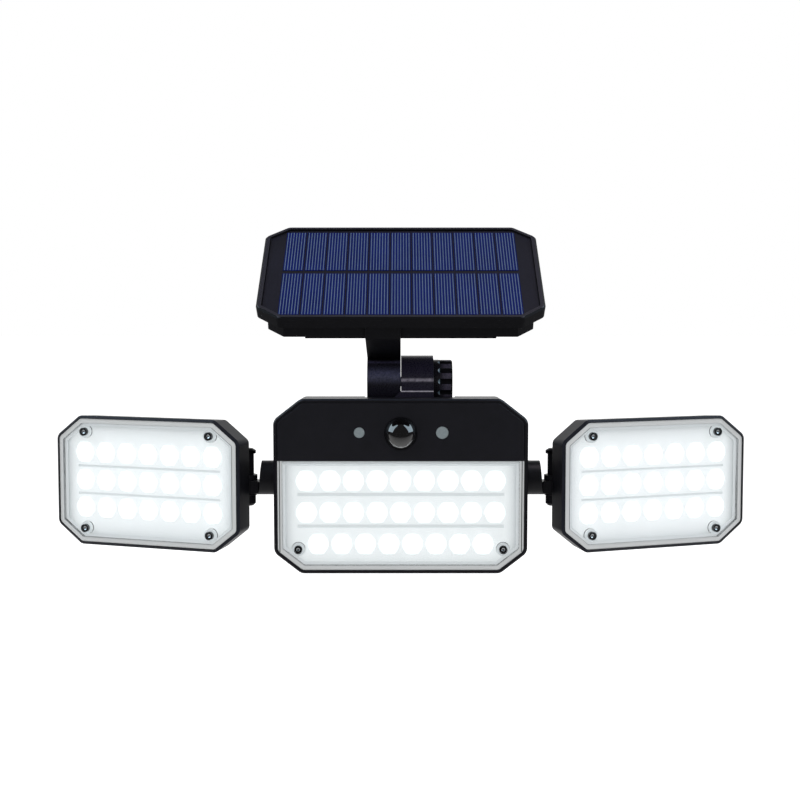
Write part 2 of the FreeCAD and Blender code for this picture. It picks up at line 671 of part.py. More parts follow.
def main_housing(head):
    seat = LEDGE_DEPTH
    skirt_end = MAIN_DEPTH + POD_DEPTH + PLATE_DEPTH - WALL_SHADOW_GAP
    cover_seat = rear_cover_depth() - REAR_COVER_THICKNESS
    cavity_inset = MAIN_LIP + LEDGE_WIDTH
    deep_inset = cavity_inset + BOARD_LEDGE
    back = MAIN_DEPTH - BACK_WALL
    body = shell_outside(head)
    body = body.cut(head.prism(MAIN_LIP, -1, seat))
    body = body.cut(head.prism(cavity_inset, seat, BOARD_BACK, head.cavity_top))
    upper_floor = head.cavity_top + CROSSBAR_HEIGHT
    upper = head.prism(cavity_inset, seat, BOARD_BACK)
    below = box((-MAIN_WIDTH, MAIN_WIDTH), (0, MAIN_DEPTH), (-MAIN_HEIGHT, upper_floor))
    body = body.cut(upper.cut(below))
    body = body.cut(head.prism(deep_inset, BOARD_BACK, back))
    pocket_wall = hinge_pocket(POCKET_WALL).common(shell_outside(head))
    body = body.fuse([pocket_wall] + arm_sockets() + screw_posts(head))
    pod = pod_prism(0, back, skirt_end)
    pod = pod.cut(pod_prism(POD_CAVITY_INSET, MAIN_DEPTH, cover_seat))
    pod = pod.cut(pod_prism(POD_SKIRT_WALL, cover_seat, skirt_end))
    posts = [depth_rod(SCREW_BOSS_RADIUS, x, z, MAIN_DEPTH, cover_seat) for x, z in rear_screw_places()]
    inside = head.prism(deep_inset, BOARD_BACK, back)
    body = body.cut(hinge_pocket()).fuse([pod] + posts + [fixed_knuckle()])
    body = body.cut(inside.cut(hinge_pocket(POCKET_WALL)).cut(Part.makeCompound(screw_posts(head))))
    cuts = screw_bores(head)
    for x, z in rear_screw_places():
        cuts.append(depth_rod(SCREW_SHANK_RADIUS + SHAFT_GAP, x, z, cover_seat - SCREW_BITE, cover_seat))
    for side in (-1, 1):
        start = V(side * (MAIN_WIDTH / 2 - deep_inset - 1), ARM_DEPTH, ARM_Z)
        cuts.append(rod(SPIGOT_RADIUS + SHAFT_GAP, start, V(side * MAIN_WIDTH, ARM_DEPTH, ARM_Z)))
    bolt_end = V(KNOB_END, HINGE_DEPTH, HINGE_Z)
    cuts.append(rod(HINGE_BOLT_RADIUS + SHAFT_GAP, V(0, HINGE_DEPTH, HINGE_Z), bolt_end))
    cuts.append(mode_button_bore())
    screw_y = lock_screw_axis()
    screw_low = -POD_HEIGHT / 2 - 1
    cuts.append(rod(SCREW_SHANK_RADIUS + SHAFT_GAP, V(0, screw_y, screw_low), V(0, screw_y, screw_low / 2)))
    wire_hole = (MAIN_WIDTH / 2 - deep_inset) / 2
    cuts.append(depth_rod(WIRE_BORE_RADIUS * 2, wire_hole, 0, back - 1, MAIN_DEPTH + 1))
    return body.cut(cuts).removeSplitter()


# ---- fascia and sensor ----
def control_post_places():
    x = CONTROL_BOARD_WIDTH / 2 - CONTROL_POST_INSET
    z = CONTROL_BOARD_HEIGHT / 2 - CONTROL_POST_INSET
    return [(i * x, SENSOR_Z + k * z) for i in (-1, 1) for k in (-1, 1)]


def sensor_fascia(head):
    """Black plate above the window, lapped over the cover's top edge, with posts for the control board."""
    edge = MAIN_LIP + SHAFT_GAP
    bevel_wires = []
    for depth, step in ((0.0, FASCIA_BEVEL), (FASCIA_BEVEL / 2, 0.0)):
        bevel_wires.append(outline(head.points(edge + step), MAIN_CORNER - edge - step, depth))
    plate = Part.makeLoft(bevel_wires, True, True).fuse(head.prism(edge, FASCIA_BEVEL / 2, LEDGE_DEPTH))
    wide = (-MAIN_WIDTH, MAIN_WIDTH)
    plate = plate.cut(box(wide, (-1, LEDGE_DEPTH + 1), (-MAIN_HEIGHT, MAIN_COVER_TOP)))
    lap_front = FLANGE_RECESS - SHAFT_GAP
    lap_top = MAIN_COVER_TOP + FASCIA_LAP + SHAFT_GAP
    plate = plate.cut(box(wide, (lap_front, LEDGE_DEPTH + 1), (-MAIN_HEIGHT, lap_top)))
    posts = []
    for x, z in control_post_places():
        posts.append(depth_rod(CONTROL_POST_RADIUS, x, z, LEDGE_DEPTH - OVERLAP, CONTROL_BOARD_DEPTH))
    plate = plate.fuse(posts)
    plate = plate.cut(depth_rod(DOME_RING_RADIUS, 0, SENSOR_Z, -1, DOME_RING_DEPTH))
    plate = plate.cut(depth_rod(DOME_RADIUS + SHAFT_GAP, 0, SENSOR_Z, -1, LEDGE_DEPTH + 1))
    for x, radius in ((-SMALL_WINDOW_X, LIGHT_SENSOR_RADIUS), (SMALL_WINDOW_X, INDICATOR_RADIUS)):
        plate = plate.cut(depth_rod(radius + SHAFT_GAP, x, SMALL_WINDOW_Z, -1, LEDGE_DEPTH + 1))
    return plate.removeSplitter()


def sensor_dome():
    """Hollow dome with a flange behind the fascia."""
    domes = []
    for radius, reach in ((DOME_RADIUS, DOME_REACH), (DOME_RADIUS - DOME_WALL, DOME_REACH - DOME_WALL)):
        sphere = (radius**2 + reach**2) / (2 * reach)
        turn = math.acos((sphere - reach) / sphere) / 2
        apex = V(0, -reach, SENSOR_Z)
        middle = V(sphere * math.sin(turn), sphere * (1 - math.cos(turn)) - reach, SENSOR_Z)
        rim = V(radius, 0, SENSOR_Z)
        base = V(radius, LEDGE_DEPTH + SIDE_GAP, SENSOR_Z)
        centre = V(0, LEDGE_DEPTH + SIDE_GAP, SENSOR_Z)
        edges = [Part.Arc(apex, middle, rim).toShape()]
        edges += [Part.LineSegment(a, b).toShape() for a, b in ((rim, base), (base, centre), (centre, apex))]
        domes.append(Part.Face(Part.Wire(edges)).revolve(V(0, 0, SENSOR_Z), V(0, 1, 0), 360))
    back = LEDGE_DEPTH + DOME_FLANGE_THICKNESS
    flange = depth_rod(DOME_RADIUS + DOME_FLANGE_WIDTH, 0, SENSOR_Z, LEDGE_DEPTH, back)
    flange = flange.cut(depth_rod(DOME_RADIUS - DOME_WALL, 0, SENSOR_Z, 0, BOARD_DEPTH))
    return domes[0].cut(domes[1]).fuse(flange).removeSplitter()


def small_window(x, radius):
    """Window plug with a thin rim behind the fascia."""
    plug = depth_rod(radius, x, SMALL_WINDOW_Z, SMALL_WINDOW_DEPTH, LEDGE_DEPTH)
    back = LEDGE_DEPTH + SMALL_WINDOW_RIM
    rim = depth_rod(radius + SMALL_WINDOW_RIM, x, SMALL_WINDOW_Z, LEDGE_DEPTH, back)
    return plug.fuse(rim).removeSplitter()


def control_board():
    half_x = CONTROL_BOARD_WIDTH / 2
    half_z = CONTROL_BOARD_HEIGHT / 2
    depths = (CONTROL_BOARD_DEPTH, CONTROL_BOARD_DEPTH + BOARD_THICKNESS)
    return box((-half_x, half_x), depths, (SENSOR_Z - half_z, SENSOR_Z + half_z))


def sensor_can():
    front = CONTROL_BOARD_DEPTH - PIR_CAN_HEIGHT
    can = depth_rod(PIR_CAN_RADIUS, 0, SENSOR_Z, front, CONTROL_BOARD_DEPTH)
    rim_front = CONTROL_BOARD_DEPTH - PIR_CAN_RIM
    rim = depth_rod(PIR_CAN_RADIUS + PIR_CAN_RIM, 0, SENSOR_Z, rim_front, CONTROL_BOARD_DEPTH)
    half_x = PIR_WINDOW_WIDTH / 2
    half_z = PIR_WINDOW_HEIGHT / 2
    depths = (front - 1, front + PIR_WINDOW_DEPTH)
    return can.fuse(rim).cut(box((-half_x, half_x), depths, (SENSOR_Z - half_z, SENSOR_Z + half_z)))


# ---- battery, button, wall plate ----
def cell_centres():
    z = CELL_SPACING / 2
    return [(MAIN_DEPTH + CRADLE_RIM + CELL_RADIUS, side * z) for side in (-1, 1)]


def battery_cells():
    half = CELL_LENGTH / 2
    return Part.makeCompound([rod(CELL_RADIUS, V(-half, y, z), V(half, y, z)) for y, z in cell_centres()])


def battery_cradle():
    half = CELL_LENGTH / 2
    half_z = CELL_SPACING / 2 + CELL_RADIUS + CRADLE_RIM / 2
    back = MAIN_DEPTH + CRADLE_RIM + CELL_RADIUS
    end = half + CRADLE_RIM
    tray = box((-end, end), (MAIN_DEPTH, back), (-half_z, half_z))
    length = half + SEAT_GAP
    for y, z in cell_centres():
        tray = tray.cut(rod(CELL_RADIUS + SEAT_GAP, V(-length, y, z), V(length, y, z)))
    return tray


def mode_button():
    """Push button in the pod's underside, its flange resting on the inner face."""
    y = MAIN_DEPTH + MODE_BUTTON_BACK
    outside = -POD_HEIGHT / 2 - MODE_BUTTON_REACH
    inside = -POD_HEIGHT / 2 + POD_CAVITY_INSET
    cap = rod(MODE_BUTTON_RADIUS, V(MODE_BUTTON_X, y, outside), V(MODE_BUTTON_X, y, inside))
    top = inside + MODE_BUTTON_FLANGE
    rim_radius = MODE_BUTTON_RADIUS + MODE_BUTTON_RIM
    flange = rod(rim_radius, V(MODE_BUTTON_X, y, inside), V(MODE_BUTTON_X, y, top))
    return cap.fuse(flange).removeSplitter()


def mode_switch():
    y = MAIN_DEPTH + MODE_BUTTON_BACK
    half = MODE_SWITCH_SIZE / 2
    button_top = -POD_HEIGHT / 2 + POD_CAVITY_INSET + MODE_BUTTON_FLANGE
    low = button_top + MODE_BUTTON_TRAVEL + SHAFT_GAP
    bracket_z = -(CELL_SPACING / 2 + CELL_RADIUS + CRADLE_RIM / 2)
    cradle_back = MAIN_DEPTH + CRADLE_RIM + CELL_RADIUS
    body = box((MODE_BUTTON_X - half, MODE_BUTTON_X + half), (y - half, y + half), (low, bracket_z))
    foot_front = cradle_back - MODE_SWITCH_FOOT
    foot = box((MODE_BUTTON_X - half, MODE_BUTTON_X + half), (foot_front, y), (low, bracket_z))
    return body.fuse(foot).removeSplitter()


def rear_cover():
    front = rear_cover_depth() - REAR_COVER_THICKNESS
    cover = pod_prism(POD_SKIRT_WALL + SEAT_GAP, front, rear_cover_depth())
    for x, z in rear_screw_places():
        head_front = rear_cover_depth() - SCREW_HEAD_HEIGHT
        cover = cover.cut(depth_rod(SCREW_HEAD_RADIUS + SEAT_GAP, x, z, head_front, rear_cover_depth() + 1))
        cover = cover.cut(depth_rod(SCREW_SHANK_RADIUS + SHAFT_GAP, x, z, 0, rear_cover_depth() + 1))
    return cover


def rear_cover_screws():
    """Battery cover screws, driven from behind."""
    screws = []
    for x, z in rear_screw_places():
        head_front = rear_cover_depth() - SCREW_HEAD_HEIGHT
        head = depth_rod(SCREW_HEAD_RADIUS, x, z, head_front, rear_cover_depth())
        end = rear_cover_depth() - REAR_COVER_THICKNESS - SCREW_BITE + SIDE_GAP
        screws.append(head.fuse(depth_rod(SCREW_SHANK_RADIUS, x, z, end, head_front)))
    return Part.makeCompound(screws)


def wall_plate():
    front = MAIN_DEPTH + POD_DEPTH
    back = front + PLATE_DEPTH
    plate = pod_prism(POD_SKIRT_WALL + SIDE_GAP, front, back)
    seat = front + PLATE_COUNTERBORE_DEPTH
    for x in (-PLATE_HOLE_SPACING / 2, PLATE_HOLE_SPACING / 2):
        plate = plate.cut(depth_rod(PLATE_HOLE_RADIUS, x, 0, front - 1, back + 1))
        plate = plate.cut(depth_rod(PLATE_COUNTERBORE_RADIUS, x, 0, front - 1, seat))
    y = lock_screw_axis()
    low = -POD_HEIGHT / 2
    top = low + POD_SKIRT_WALL + LOCK_SCREW_LENGTH
    return plate.cut(rod(SCREW_SHANK_RADIUS + SHAFT_GAP, V(0, y, low), V(0, y, top)))


def plate_lock_screw():
    y = lock_screw_axis()
    low = -POD_HEIGHT / 2
    head = rod(SCREW_HEAD_RADIUS, V(0, y, low - SCREW_HEAD_HEIGHT), V(0, y, low))
    shank_top = low + POD_SKIRT_WALL + LOCK_SCREW_LENGTH - SIDE_GAP
    long = SCREW_SLOT_LENGTH / 2
    short = SCREW_SLOT_WIDTH / 2
    slot_top = low - SCREW_HEAD_HEIGHT / 2
    slot = box((-long, long), (y - short, y + short), (low - SCREW_HEAD_HEIGHT - 1, slot_top))
    return head.fuse(rod(SCREW_SHANK_RADIUS, V(0, y, low), V(0, y, shank_top))).cut(slot)


# ---- hinge hardware, in the main head's frame ----
def hinge_bolt():
    start = -MOVING_KNUCKLE_WIDTH + HINGE_BOLT_INSET
    head = rod(HINGE_BOLT_HEAD_RADIUS, V(start, 0, 0), V(start + HINGE_BOLT_HEAD, 0, 0))
    shank = rod(HINGE_BOLT_RADIUS, V(start, 0, 0), V(INSERT_END, 0, 0))
    return head.fuse(shank).removeSplitter()


def ring(outer, inner, start, end):
    """Flat ring along X."""
    return rod(outer, V(start, 0, 0), V(end, 0, 0)).cut(rod(inner, V(start - 1, 0, 0), V(end + 1, 0, 0)))


def hinge_washer():
    bore = HINGE_BOLT_RADIUS + SHAFT_GAP
    return ring(WASHER_RADIUS, bore, FIXED_KNUCKLE_END, FIXED_KNUCKLE_END + WASHER_THICKNESS)


def clamp_knob():
    """Round knob with a plain collar, long flutes with scooped ends, and seats for its washer and insert."""
    shoulder = V(KNOB_END - KNOB_BEVEL, 0, 0)
    bevel = Part.makeCone(KNOB_RADIUS, KNOB_RADIUS - KNOB_BEVEL, KNOB_BEVEL, shoulder, V(1, 0, 0))
    knob = rod(KNOB_RADIUS, V(KNOB_START, 0, 0), shoulder).fuse(bevel)
    flute_start = KNOB_START + KNOB_COLLAR + KNOB_FLUTE_RADIUS
    for i in range(KNOB_FLUTES):
        turn = 2 * math.pi * (i + KNOB_FLUTE_PHASE) / KNOB_FLUTES
        y = (KNOB_RADIUS + KNOB_FLUTE_OUTSET) * math.cos(turn)
        z = (KNOB_RADIUS + KNOB_FLUTE_OUTSET) * math.sin(turn)
        flute = rod(KNOB_FLUTE_RADIUS, V(flute_start, y, z), V(KNOB_END + 1, y, z))
        knob = knob.cut(flute.fuse(Part.makeSphere(KNOB_FLUTE_RADIUS, V(flute_start, y, z))))
    knob = knob.cut(rod(WASHER_RADIUS + SEAT_GAP, V(KNOB_START - 1, 0, 0), V(INSERT_START, 0, 0)))
    knob = knob.cut(rod(INSERT_RADIUS + SHAFT_GAP / 2, V(KNOB_START, 0, 0), V(INSERT_END, 0, 0)))
    knob = knob.cut(rod(HINGE_BOLT_RADIUS + SHAFT_GAP, V(INSERT_END - 1, 0, 0), V(INSERT_END + 1, 0, 0)))
    return knob.removeSplitter()


def knob_insert():
    return ring(INSERT_RADIUS, HINGE_BOLT_RADIUS + SHAFT_GAP, INSERT_START, INSERT_END)


# ---- solar panel: built face forward with depth 0 at its top, then laid back ----
def panel_points(inset):
    return cut_corner(PANEL_WIDTH, PANEL_LENGTH, PANEL_CUT_X, PANEL_CUT_Z, inset)


def panel_prism(inset, front, back):
    return prism(panel_points(inset), max(PANEL_CORNER - inset, SMALLEST_CORNER), front, back)


def laminate_depth():
    return BEZEL_RECESS + CELL_THICKNESS


def rim_ledge_depth():
    return laminate_depth() + LAMINATE_THICKNESS + PANEL_GASKET_THICKNESS


def panel_screw_places():
    """Four near the corners' long sides and two at the middle of the short sides."""
    x = PANEL_WIDTH / 2 - PANEL_SCREW_INSET
    z = PANEL_LENGTH / 2 - PANEL_SCREW_INSET
    corners = [(i * (x - PANEL_CUT_X), k * z) for i in (-1, 1) for k in (-1, 1)]
    return corners + [(-x, 0.0), (x, 0.0)]


def panel_frame():
    steps = ((0.0, RIM_BEVEL), (RIM_BEVEL, 0.0), (RIM_DEPTH, RIM_BEVEL / 2))
    wires = [outline(panel_points(inset), PANEL_CORNER - inset, depth) for depth, inset in steps]
    frame = Part.makeLoft(wires, True, True)
    frame = frame.cut(panel_prism(BEZEL_WIDTH, -1, rim_ledge_depth()))
    frame = frame.cut(panel_prism(RIM_INNER_INSET, 0, RIM_DEPTH + 1))
    for x, z in panel_screw_places():
        low = rim_ledge_depth() + SIDE_GAP
        frame = frame.cut(depth_rod(SCREW_SHANK_RADIUS + SHAFT_GAP, x, z, low, RIM_DEPTH + 1))
    return frame


def panel_gasket():
    front = laminate_depth() + LAMINATE_THICKNESS
    outer = panel_prism(BEZEL_WIDTH + SIDE_GAP, front, rim_ledge_depth())
    return outer.cut(panel_prism(BEZEL_WIDTH + PANEL_GASKET_WIDTH, front, rim_ledge_depth()))


def solar_laminate():
    return panel_prism(BEZEL_WIDTH + SEAT_GAP, laminate_depth(), laminate_depth() + LAMINATE_THICKNESS)


def solar_cells():
    """Two rows of narrow cells lying on the laminate."""
    width = CELL_COLUMN_PITCH - CELL_COLUMN_GAP
    columns = how_many(PANEL_WIDTH - 2 * CELL_SIDE_BORDER - width, CELL_COLUMN_PITCH)
    length = (PANEL_LENGTH - CELL_FRONT_BORDER - CELL_REAR_BORDER - CELL_ROW_GAP) / 2
    front = CELL_FRONT_BORDER - PANEL_LENGTH / 2
    depths = (BEZEL_RECESS, laminate_depth())
    cells = []
    for start in (front, front + length + CELL_ROW_GAP):
        for column in range(columns):
            x = (column - (columns - 1) / 2) * CELL_COLUMN_PITCH
            cells.append(box((x - width / 2, x + width / 2), depths, (start, start + length)))
    return Part.makeCompound(cells)


def tray_floor(x):
    """Depth of the tray's outer underside at x: the middle is a step deeper."""
    return RIM_DEPTH + TRAY_DEPTH + (TRAY_STEP if abs(x) < TRAY_STEP_HALF else 0.0)


def panel_tray():
    """Lower housing of the panel: an open tray with screw posts and a deeper middle."""
    floor = RIM_DEPTH + TRAY_DEPTH
    tray = panel_prism(TRAY_INSET, RIM_DEPTH, floor)
    step_span = (-TRAY_STEP_HALF, TRAY_STEP_HALF)
    half_z = PANEL_LENGTH / 2 - TRAY_INSET
    tray = tray.fuse(box(step_span, (floor - 1, floor + TRAY_STEP), (-half_z, half_z)))
    tray = tray.cut(panel_prism(TRAY_INSET + TRAY_WALL, RIM_DEPTH - 1, floor - TRAY_WALL))
    posts = []
    for x, z in panel_screw_places():
        posts.append(depth_rod(SCREW_BOSS_RADIUS, x, z, RIM_DEPTH, floor - TRAY_WALL + OVERLAP))
    tray = tray.fuse(posts)
    for x, z in panel_screw_places():
        head_top = floor - SCREW_HEAD_HEIGHT
        tray = tray.cut(depth_rod(SCREW_HEAD_RADIUS + SEAT_GAP, x, z, head_top, floor + TRAY_STEP + 1))
        tray = tray.cut(depth_rod(SCREW_SHANK_RADIUS + SHAFT_GAP, x, z, RIM_DEPTH - 1, head_top + 1))
    return tray.removeSplitter()


def panel_screws():
    screws = []
    for x, z in panel_screw_places():
        head_front = RIM_DEPTH + TRAY_DEPTH - SCREW_HEAD_HEIGHT
        head = depth_rod(SCREW_HEAD_RADIUS, x, z, head_front, RIM_DEPTH + TRAY_DEPTH)
        tip = rim_ledge_depth() + SIDE_GAP * 2
        screws.append(head.fuse(depth_rod(SCREW_SHANK_RADIUS, x, z, tip, head_front)))
    return Part.makeCompound(screws)


def panel_arm():
    """Gusset arm with the moving knuckle, in the hinge's frame: Y to the panel's rear, Z to its top."""
    under = PANEL_RISE - tray_floor(0)
    rim_under = PANEL_RISE - RIM_DEPTH
    tray_front = PANEL_BACK - PANEL_LENGTH / 2 + TRAY_INSET
    front = tray_front - ARM_LAP
    turn = math.radians(ARM_FRONT_ANGLE)
    meet = (KNUCKLE_RADIUS * math.cos(turn), KNUCKLE_RADIUS * math.sin(turn))
    corners = [
        (tray_front, rim_under),
        (front, rim_under),
        (front, under + TRAY_STEP),
        meet,
        (0.0, 0.0),
        (KNUCKLE_RADIUS - ARM_REAR_INSET, 0.0),
        (KNUCKLE_RADIUS - ARM_REAR_INSET, ARM_REAR_HEIGHT),
        (ARM_REAR_TOP, under),
        (tray_front, under),
    ]
    left = -MOVING_KNUCKLE_WIDTH
    points = [V(left, y, z) for y, z in corners]
    web = Part.Face(Part.makePolygon(points + points[:1])).extrude(V(MOVING_KNUCKLE_WIDTH, 0, 0))
    knuckle = rod(KNUCKLE_RADIUS, V(left, 0, 0), V(0, 0, 0))
    arm = web.fuse(knuckle)
    arm = arm.cut(rod(HINGE_BOLT_RADIUS + SHAFT_GAP, V(left - 1, 0, 0), V(1, 0, 0)))
    head_end = left + HINGE_BOLT_INSET + HINGE_BOLT_HEAD + SHAFT_GAP
    arm = arm.cut(rod(HINGE_BOLT_HEAD_RADIUS + SHAFT_GAP, V(left - 1, 0, 0), V(head_end, 0, 0)))
    return arm.removeSplitter()


# ---- side heads, built about their pivot with the head facing -Y ----
def pivot_knuckles():
    """Upper sleeve and lower knuckle for the pivot screw, each on a web behind the head."""
    low_top = TONGUE_BOTTOM - SEAT_GAP
    low_end = low_top - LOWER_KNUCKLE_HEIGHT
    bevel = LOWER_KNUCKLE_BEVEL
    sleeve = rod(SLEEVE_RADIUS, V(0, 0, SLEEVE_LOW), V(0, 0, SLEEVE_TOP))
    lower = rod(LOWER_KNUCKLE_RADIUS, V(0, 0, low_end + bevel), V(0, 0, low_top))
    tip = V(0, 0, low_end)
    cone = Part.makeCone(LOWER_KNUCKLE_RADIUS - bevel, LOWER_KNUCKLE_RADIUS, bevel, tip, V(0, 0, 1))
    half = PIVOT_WEB / 2
    depth = (-PIVOT_TO_BACK - OVERLAP, 0)
    upper_web = box((-half, half), depth, (SLEEVE_LOW, SLEEVE_TOP))
    lower_web = box((-half, half), depth, (low_end + bevel, low_top))
    solid = sleeve.fuse([lower, cone, upper_web, lower_web])
    return solid.cut(rod(PIVOT_SCREW_RADIUS + SHAFT_GAP, V(0, 0, low_end + bevel), V(0, 0, SLEEVE_TOP + 1)))


def side_place(shape):
    """From a head's own frame to the frame of its pivot."""
    moved = shape.copy()
    moved.translate(V(SIDE_WIDTH / 2 - PIVOT_TO_SIDE, -PIVOT_TO_BACK - SIDE_DEPTH, -SIDE_DROP))
    return moved


def side_housing(head):
    cavity_inset = SIDE_LIP + LEDGE_WIDTH
    body = shell_outside(head)
    body = body.cut(head.prism(SIDE_LIP, -1, LEDGE_DEPTH))
    body = body.cut(head.prism(cavity_inset, LEDGE_DEPTH, BOARD_BACK))
    body = body.cut(head.prism(cavity_inset + BOARD_LEDGE, BOARD_BACK, SIDE_DEPTH - BACK_WALL))
    body = body.fuse(screw_posts(head)).cut(screw_bores(head))
    return side_place(body).fuse(pivot_knuckles()).removeSplitter()


def detent_ring():
    """Toothed ring under the upper sleeve."""
    low = TONGUE_TOP + SEAT_GAP
    body = rod(DETENT_RADIUS, V(0, 0, low), V(0, 0, low + DETENT_HEIGHT))
    half = DETENT_RADIUS * math.pi / DETENT_TEETH / 2
    across = (DETENT_RADIUS - DETENT_NOTCH, DETENT_RADIUS + 1)
    notches = []
    for i in range(DETENT_TEETH):
        notch = box(across, (-half, half), (low, low + DETENT_HEIGHT / 2))
        notch.rotate(V(0, 0, 0), V(0, 0, 1), 360 * i / DETENT_TEETH)
        notches.append(notch)
    body = body.cut(notches)
    return body.cut(rod(PIVOT_SCREW_RADIUS + SHAFT_GAP, V(0, 0, low - 1), V(0, 0, low + DETENT_HEIGHT + 1)))


def pivot_screw():
    low = TONGUE_BOTTOM - SEAT_GAP - LOWER_KNUCKLE_HEIGHT + PIVOT_TIP_HEIGHT
    shank = rod(PIVOT_SCREW_RADIUS, V(0, 0, low), V(0, 0, SLEEVE_TOP + 1))
    edge_top = V(0, 0, SLEEVE_TOP + PIVOT_CAP_EDGE)
    edge = rod(PIVOT_CAP_RADIUS, V(0, 0, SLEEVE_TOP), edge_top)
    crown = Part.makeCone(PIVOT_CAP_RADIUS, PIVOT_CAP_CROWN_RADIUS, PIVOT_CAP_CROWN, edge_top, V(0, 0, 1))
    return shank.fuse([edge, crown]).removeSplitter()


# ---- side arms, in the light's own frame for the right-hand side ----
def side_arm():
    """Barrel against the main housing, its spigot inside, and the tongue with its eye round the pivot."""
    barrel = arm_rod(BARREL_RADIUS, SOCKET_FACE + SEAT_GAP / 2, PIVOT_X)
    barrel = barrel.cut(above_tongue()).cut(beside_tongue())
    eye = rod(EYE_RADIUS, V(PIVOT_X, ARM_Y, TONGUE_BOTTOM), V(PIVOT_X, ARM_Y, TONGUE_TOP))
    arm = barrel.fuse([eye, arm_rod(SPIGOT_RADIUS, SPIGOT_END, SOCKET_FACE + 1)])
    clip_groove = arm_groove(CLIP_X, CLIP_X + CLIP_THICKNESS, CLIP_GROOVE_RADIUS)
    seal_groove = arm_groove(RING_X - RING_RADIUS, RING_X + RING_RADIUS, SPIGOT_RADIUS - 2 * RING_RADIUS)
    bore = arm_rod(WIRE_BORE_RADIUS, SPIGOT_END - 1, SOCKET_FACE + BARREL_LENGTH / 2)
    pin_low = V(PIVOT_X, ARM_Y, TONGUE_BOTTOM - 1)
    pin_hole = rod(PIVOT_SCREW_RADIUS + SHAFT_GAP, pin_low, V(PIVOT_X, ARM_Y, TONGUE_TOP + 1))
    return arm.cut([clip_groove, seal_groove, bore, pin_hole]).removeSplitter()


def arm_rod(radius, start, end):
    """Cylinder on the side arm's barrel axis."""
    return rod(radius, V(start, ARM_Y, ARM_Z), V(end, ARM_Y, ARM_Z))


def arm_groove(start, end, floor_radius):
    """Ring-shaped cutter for a groove in the spigot, a shaft gap wider than start to end."""
    wide = arm_rod(SPIGOT_RADIUS + 1, start - SHAFT_GAP, end + SHAFT_GAP)
    return wide.cut(arm_rod(floor_radius, start - 1, end + 1))


def above_tongue():
    """Everything over the flat tongue, with a slanting end to the barrel's upper half."""
    front = ARM_Y - BARREL_RADIUS - 1
    top = ARM_Z + BARREL_RADIUS + 1
    corners = [
        V(BARREL_END - BARREL_SLANT, front, top),
        V(BARREL_END, front, TONGUE_TOP),
        V(PIVOT_X + 1, front, TONGUE_TOP),
        V(PIVOT_X + 1, front, top),
    ]
    return Part.Face(Part.makePolygon(corners + corners[:1])).extrude(V(0, 2 * BARREL_RADIUS + 2, 0))


def beside_tongue():
    """The two cheeks cut away where the barrel narrows to the tongue."""
    low = TONGUE_BOTTOM - 1
    cheeks = []
    for side in (-1, 1):
        far = ARM_Y + side * (BARREL_RADIUS + 1)
        near = ARM_Y + side * TONGUE_HALF_WIDTH
        corners = [
            V(BARREL_END, far, low),
            V(BARREL_END, ARM_Y + side * (BARREL_RADIUS - WAIST_INSET), low),
            V(BARREL_END + WAIST_LENGTH, near, low),
            V(PIVOT_X + 1, near, low),
            V(PIVOT_X + 1, far, low),
        ]
        cheek = Part.Face(Part.makePolygon(corners + corners[:1]))
        cheeks.append(cheek.extrude(V(0, 0, TONGUE_TOP - low + 1)))
    return Part.makeCompound(cheeks)


def arm_clip():
    clip = ring(CLIP_RADIUS, CLIP_GROOVE_RADIUS + SHAFT_GAP, CLIP_X, CLIP_X + CLIP_THICKNESS)
    clip.translate(V(0, ARM_Y, ARM_Z))
    return clip


def arm_seal():
    """O-ring in the spigot's groove."""
    middle = SPIGOT_RADIUS - RING_RADIUS + SHAFT_GAP / 4
    return Part.makeTorus(middle, RING_RADIUS - SHAFT_GAP / 4, V(RING_X, ARM_Y, ARM_Z), V(1, 0, 0))


# ---- places ----
def to_front(shape):
    moved = shape.copy()
    moved.translate(V(0, FRONT_Y, 0))
    return moved


def to_hinge(shape):
    moved = shape.copy()
    moved.translate(V(0, HINGE_Y, HINGE_Z))
    return moved


def tilted(shape):
    """From the panel's own hinge frame to the light's frame."""
    moved = shape.copy()
    moved.rotate(V(0, 0, 0), V(1, 0, 0), PANEL_TILT_DEGREES)
    return to_hinge(moved)


def laid_back(shape):
    """From the panel's face-forward frame to its hinge frame, then to the light's frame."""
    moved = shape.copy()
    moved.rotate(V(0, 0, 0), V(1, 0, 0), -90)
    moved.translate(V(0, PANEL_BACK, PANEL_RISE))
    return tilted(moved)


def to_pivot(shape):
    moved = shape.copy()
    moved.rotate(V(0, 0, 0), V(0, 0, 1), SIDE_YAW_DEGREES)
    moved.translate(V(PIVOT_X, ARM_Y, 0))
    return moved


def leaning(shape):
    """Leans a side arm or head back about the arm's barrel axis."""
    moved = shape.copy()
    moved.rotate(V(0, ARM_Y, ARM_Z), V(1, 0, 0), -SIDE_LEAN_DEGREES)
    return moved


def main_nodes():
    head = main_head()
    nodes = {
        "wall_plate": to_front(wall_plate()),
        "plate_lock_screw": to_front(plate_lock_screw()),
        "main_housing": to_front(main_housing(head)),
        "rear_cover": to_front(rear_cover()),
        "rear_cover_screws": to_front(rear_cover_screws()),
        "sensor_fascia": to_front(sensor_fascia(head)),
        "sensor_dome": to_front(sensor_dome()),
        "sensor_can": to_front(sensor_can()),
        "light_sensor_window": to_front(small_window(-SMALL_WINDOW_X, LIGHT_SENSOR_RADIUS)),
        "indicator_window": to_front(small_window(SMALL_WINDOW_X, INDICATOR_RADIUS)),
        "control_board": to_front(control_board()),
        "battery_cells": to_front(battery_cells()),
        "battery_cradle": to_front(battery_cradle()),
        "mode_button": to_front(mode_button()),
        "mode_switch": to_front(mode_switch()),
        "hinge_bolt": to_hinge(hinge_bolt()),
        "hinge_washer": to_hinge(hinge_washer()),
    }
    nodes.update(lamp_layers(head, "main", to_front))
    return nodes


